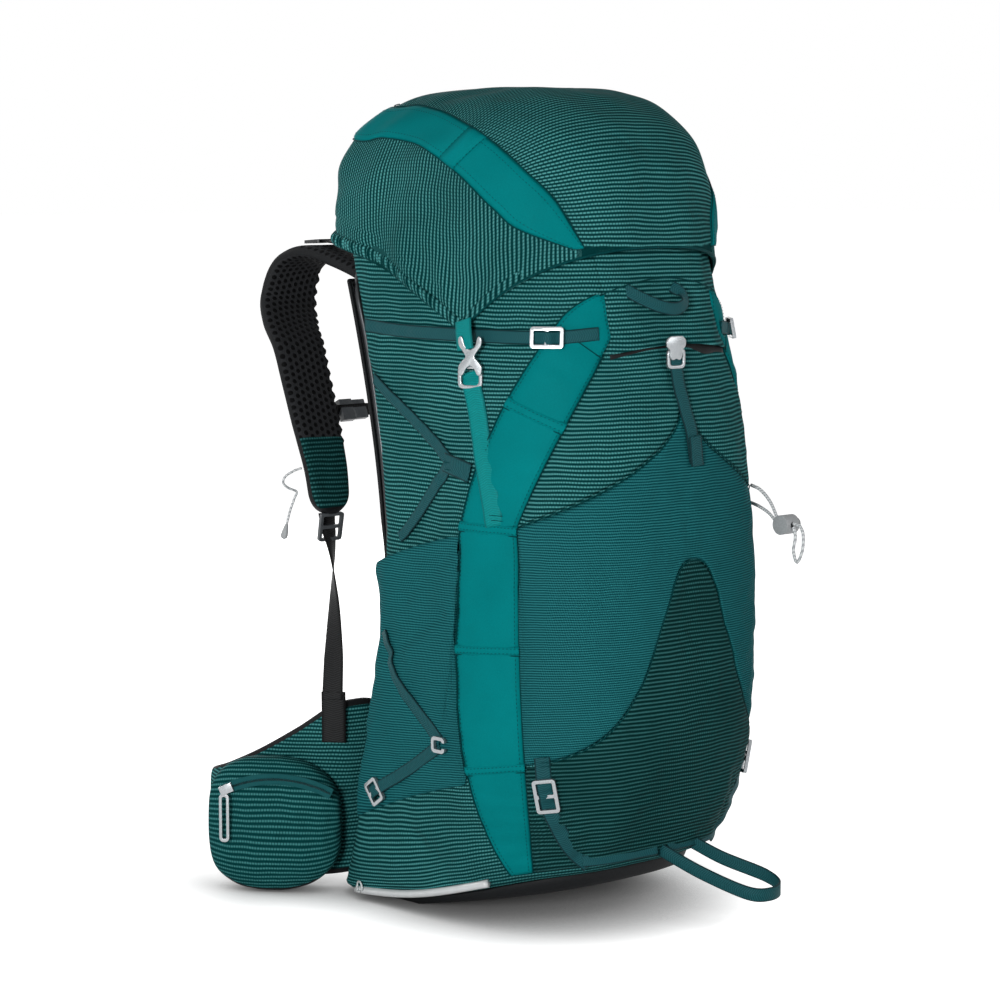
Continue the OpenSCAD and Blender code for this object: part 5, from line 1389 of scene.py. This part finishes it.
# Shoulder straps: foam in black spacer mesh with a bound edge. Each rises off the yoke, turns over at
# its crest and hangs to a ladder-lock. A striped patch covers its foot.
yoke_face = float(back_y(530.0)) + 13.6
strap_line = np.array([[-56, yoke_face + 7.9, 520], [-60, yoke_face + 14.5, 546], [-68, 246, 565],
    [-76, 276, 570], [-82, 296, 561], [-87, 303, 545], [-94, 300, 524], [-104, 285, 505],
    [-110, 265, 484.5], [-112, 252, 456], [-114, 240, 430], [-116, 228, 404], [-117, 218, 378],
    [-118, 212, 352], [-118, 209, 338]])
STRAP_RINGS, STRAP_SIDES = 150, 48
strap_width = np.interp(np.linspace(0, 1, STRAP_RINGS), [0, 0.08, 0.4, 0.75, 0.95, 1],
    [46, 54, 59, 52, 42, 34])
PAD_T = 13
RIB_PITCH = 11
PATCH_FROM, BOUND_FROM = 116, 143


def strap_pad(name, flip):
    line = smooth_path(strap_line, STRAP_RINGS)
    run = unit_rows(np.gradient(line, axis=0))
    side = np.array([[-1.0, 0, 0]] * STRAP_RINGS)
    side = unit_rows(side - run * (side * run).sum(1, keepdims=True))
    out = np.cross(side, run)
    turns = np.linspace(0, math.tau, STRAP_SIDES, endpoint=False)
    along = arc_length(line)
    foot = np.sqrt(1 - np.clip((along - along[-1] + 20) / 21, 0, 1) ** 2)
    rings, uv = [], []
    for i in range(STRAP_RINGS):
        end = min(1, (min(i, STRAP_RINGS - 1 - i) + 0.6) / 5) ** 0.5
        rib = 0.06 * math.sin(along[i] * FULL_TURN / RIB_PITCH)
        ring = []
        for t in turns:
            c, s = math.cos(t), math.sin(t)
            ribbed = c < -0.6 and 0.3 < i / STRAP_RINGS < 0.8
            w = strap_width[i] / 2 * (1 + (rib if ribbed else 0)) * foot[i]
            x = math.copysign(abs(c) ** 0.45, c) * w
            rim = 0.55 + 0.45 * (1 - abs(c) ** 6)
            y = math.copysign(abs(s) ** 0.55, s) * PAD_T / 2 * end * rim
            ring.append(line[i] + side[i] * x * (0.9 + 0.1 * end) + out[i] * y)
            uv.append((x + (200 if s > 0 else 0), along[i]))
        rings.append(ring)
    verts, faces = ring_mesh(rings)
    if flip:
        verts = [np.array(v) * MIRROR for v in verts]
        faces = [f[::-1] for f in faces]
    return mesh_piece(name, verts, faces, black_mesh, uv)


for word, flip in SIDES:
    pad = strap_pad(f"shoulder_strap_{word}", flip)
    # The patch takes the bell's ripstop, with its painted shade.
    pad.data.materials.append(shaded_bell_stripe)
    pad.data.materials.append(coated)
    for face in pad.data.polygons:
        ring_at = min(face.vertices) // STRAP_SIDES
        column = np.mean([v % STRAP_SIDES for v in face.vertices])
        edge = abs(math.cos(column * math.pi / (STRAP_SIDES / 2)))
        if edge > 0.93 or ring_at > BOUND_FROM:
            face.material_index = 2
        elif ring_at > PATCH_FROM:
            face.material_index = 1
    x = 0.087 if flip else -0.087
    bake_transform(pad)
    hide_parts(f"shoulder_arch_{word}", f"shoulder_pad_{word}")
    web = smooth_path([(-118, 216, 339), (-118, 214, 326), (-118, 208, 300), (-118, 206, 262),
        (-121, 203, 225), (-127, 197, 196), (-131, 193.5, 173)], 90)
    turn = np.radians(np.interp(np.linspace(0, 1, len(web)), [0, 0.2, 0.5, 0.75, 1], [0, 12, 75, 118, 128]))
    web_out = np.stack([-np.sin(turn), np.cos(turn), np.zeros(len(web))], -1)
    if flip:
        web, web_out = web * MIRROR, web_out * MIRROR
    made = tape_mesh(f"shoulder_webbing_run_{word}", web, web_out, 19, black_tape)
    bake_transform(made)
    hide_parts(f"shoulder_webbing_{word}")
    patch = smooth_path([(-129.6, 193.6, 180), (-129.8, 193.2, 168), (-130, 192.8, 152),
        (-130.2, 192.6, 134)], 30)
    patch_out = np.array([[-0.763, -0.647, 0]] * len(patch))
    if flip:
        patch, patch_out = patch * MIRROR, patch_out * MIRROR
    made = tape_mesh(f"webbing_patch_{word}", patch, patch_out, 22, black_tape, 1.8)
    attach(made, f"hip_{word}")

    lifter = smooth_path([(-66, 192, 574), (-70.5, 228, 576.4), (-74.6, 258, 579.6), (-75, 270, 580.4)], 40)
    lifter_out = np.array([[0, 0, 1.0]] * len(lifter))
    if flip:
        lifter, lifter_out = lifter * MIRROR, lifter_out * MIRROR
    made = tape_mesh(f"load_lifter_tape_{word}", lifter, lifter_out, 16, black_tape)
    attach(made, "pack")
    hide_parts("load_lifters")

# The sternum strap hangs in a slight curve between its sliders.
chest_low, chest_high = [np.array(p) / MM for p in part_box("sternum_webbing")]
chest_mid = (chest_low + chest_high) / 2
chest_x = np.linspace(chest_low[0] - 0.4, chest_high[0] + 0.4, 60)
chest_sag = 2.4 * np.clip(1 - ((chest_x - 25) / 73) ** 2, 0, 1)
chest_line = np.stack([chest_x, np.full(len(chest_x), chest_mid[1]), chest_mid[2] - chest_sag], -1)
chest_out = np.array([[0, 0.88, 0.47]] * len(chest_x))
chest = tape_mesh("sternum_webbing_tape", chest_line, chest_out, 13, black_tape)
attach(chest, "sternum")
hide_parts("sternum_webbing")

# Hip belt: foam wings faced with striped cloth outside and spacer mesh inside, and edged with coated
# cloth. A rounded pocket is sewn to each wing and closed by a curved zip.
wing_points = np.array([[-90, 188, 14, 172], [-124, 198, 12, 168], [-146, 224, 9, 146], [-168, 250, 9, 126],
    [-184, 274, 14, 112], [-180, 302, 20, 102], [-158, 322, 30, 92]], float)
WING_T = 12
WING_RINGS, WING_SIDES = 90, 44
wing_line = smooth_path(wing_points, WING_RINGS)


def wing_mesh(name, flip):
    run = np.gradient(wing_line[:, :2], axis=0)
    run = unit_rows(np.column_stack([run, np.zeros(WING_RINGS)]))
    out = np.cross([0, 0, 1.0], run)
    turns = np.linspace(0, math.tau, WING_SIDES, endpoint=False)
    along = arc_length(wing_line[:, :2])
    rings, uv = [], []
    for i in range(WING_RINGS):
        end = min(1, (min(i, WING_RINGS - 1 - i) + 0.5) / 4) ** 0.5
        low, high = wing_line[i, 2:]
        mid, half = (low + high) / 2, (high - low) / 2
        ring = []
        for t in turns:
            c, s = math.cos(t), math.sin(t)
            y = math.copysign(abs(c) ** 0.5, c) * WING_T / 2 * end
            z = mid + math.copysign(abs(s) ** 0.4, s) * (half - 3 + 3 * end)
            ring.append(np.array([wing_line[i, 0], wing_line[i, 1], z]) + out[i] * y)
            uv.append((along[i], z))
        rings.append(ring)
    verts, faces = ring_mesh(rings)
    if flip:
        verts = [np.array(v) * MIRROR for v in verts]
        faces = [f[::-1] for f in faces]
    made = mesh_piece(name, verts, faces, coated, uv)
    made.data.materials.append(stripe)
    made.data.materials.append(black_mesh)
    for face in made.data.polygons:
        outward = np.mean([math.cos(turns[v % WING_SIDES]) for v in face.vertices])
        if len(face.vertices) == 4 and outward > 0.55:
            face.material_index = 1
        elif len(face.vertices) == 4 and outward < -0.5:
            face.material_index = 2
    return made


POUCH_MID = np.array([-157, 237, 0.0])
POUCH_ALONG = unit_rows(np.array([-66, 78, 0.0]))
POUCH_OUT = np.array([POUCH_ALONG[1] * -1, POUCH_ALONG[0], 0])
POUCH_IN, POUCH_X, POUCH_Z = 7.7, -6, 66
POUCH_NEAR, POUCH_FAR, POUCH_H, POUCH_D = 54, 67, 122, 36


def pouch_point(x, y, z):
    place = POUCH_MID + np.multiply.outer(x, POUCH_ALONG) + np.multiply.outer(y, POUCH_OUT)
    return place + np.multiply.outer(z, [0, 0, 1.0])


# Rings of the pocket's mesh: its zip tape starts past one of them, and its dark foot ends at the other.
POD_SIDES = 96
ZIP_FROM, FOOT_TO = 16, 12
ZIP_R = 110
ZIP_MID = POUCH_Z + 56 - 15 - ZIP_R

# Zip tape: a plain weave, even in tone beside the striped pocket.
zip_cloth = plain_taslan("dark teal zip tape", "#174E51", "#225B5E")

# Zip coil: bent nylon wire with a slight shine, darker than its tape.
zip_coil = grained("dark nylon zip coil", "#041E21", "#083235", 1.67, {"Roughness": 0.45})

# Hip pocket ripstop: the bag's cloth with its rows farther apart.
pod_cloth = striped_ripstop("hip pocket ripstop", ("#002F30", "#013F40"), "#4C9696", pitch=5.2)
for word, flip in SIDES:
    side_body = f"hip_{word}"
    wing = wing_mesh(f"hip_wing_foam_{word}", flip)
    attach(wing, side_body)
    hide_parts(f"hip_wing_{word}")
    depth = np.concatenate([np.linspace(0, 0.8, 14), 0.8 + 0.2 * np.sin(np.linspace(0.15, 1.57, 18))])
    turns = np.linspace(0, math.tau, POD_SIDES, endpoint=False)
    rings, uv, flat = [], [], []
    for d in depth:
        near = max(0, (d - 0.55) / 0.45)
        shrink = (1 - near**2.6) ** 0.5 if d < 1 else 0.02
        swell_out = 0.94 + 0.06 * math.sin(math.pi * min(1, d / 0.8))
        c, s = np.cos(turns), np.sin(turns)
        r = (np.abs(c) ** 3.6 + np.abs(s) ** 3.6) ** (-1 / 3.6)
        reach = np.where(c < 0, POUCH_NEAR, POUCH_FAR)
        x = POUCH_X + r * c * reach * swell_out * shrink
        taper = 1 - 0.34 * np.clip((-x - 4) / 64, 0, 1) ** 1.6 - 0.1 * np.clip((x - 10) / 56, 0, 1) ** 2
        z = POUCH_Z - 4 + r * s * POUCH_H / 2 * swell_out * shrink * taper
        arch = ZIP_MID + np.sqrt(ZIP_R**2 - np.minimum(x - POUCH_X, 70) ** 2)
        calm = np.clip(np.abs(z - arch) / 14, 0, 1)
        y = POUCH_IN + POUCH_D * d + (1.4 * rumple(x, z, 34, 31) * calm - 0.6) * (d > 0.3)
        rings.append(pouch_point(x, y, z))
        flat += list(zip(x, z))
        uv += list(zip(x + (1 - d) * POUCH_D * c, z + (1 - d) * POUCH_D * s))
    verts, faces = ring_mesh(rings)
    verts = np.array(verts)
    if flip:
        verts = verts * MIRROR
    else:
        faces = [f[::-1] for f in faces]
    pod = mesh_piece(f"hip_pocket_pod_{word}", verts, faces, pod_cloth, uv)
    pod.data.materials.append(zip_cloth)
    pod.data.materials.append(coated)
    for face in pod.data.polygons:
        x, z = np.mean([flat[v] for v in face.vertices], axis=0)
        arch = ZIP_MID + math.sqrt(ZIP_R**2 - min(x - POUCH_X, 70) ** 2)
        if arch + 2 < z < arch + 13 and max(face.vertices) > POD_SIDES * ZIP_FROM:
            face.material_index = 1
        elif z < 13 and max(face.vertices) < POD_SIDES * FOOT_TO:
            face.material_index = 2
    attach(pod, side_body)
    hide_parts(f"hip_pocket_{word}")
    moulded(f"hip_zip_{word}", side_body, zip_cloth, 0.3)
    zip_top = POUCH_IN + POUCH_D + 2.4
    swing = np.radians(np.linspace(-26, 26, 60))
    coil_x = POUCH_X + ZIP_R * np.sin(swing)
    coil = pouch_point(coil_x, np.full(len(swing), zip_top), ZIP_MID + ZIP_R * np.cos(swing))
    if flip:
        coil = coil * MIRROR
    stitched(f"hip_zip_coil_{word}", [coil], side_body, zip_coil, spacing=1.5, length=1.1, width=2.6)
    moulded(f"hip_zip_pull_{word}", f"hip_slider_{word}", silver, 0.4)

# Lid zip: a black coil zip in a strip of coated cloth, sewn across the back of the lid. A silver pull
# hangs on its slider.
moulded("lid_zip", "lid", coated, 0.3)
lid_coil = np.stack([np.linspace(-74, 74, 80), np.full(80, 211.3), np.full(80, 612)], -1)
stitched("lid_zip_coil", [lid_coil], "lid", black_plastic, spacing=1.6, length=1.2, width=3)
moulded("lid_zip_pull", "lid_slider", silver, 0.4)
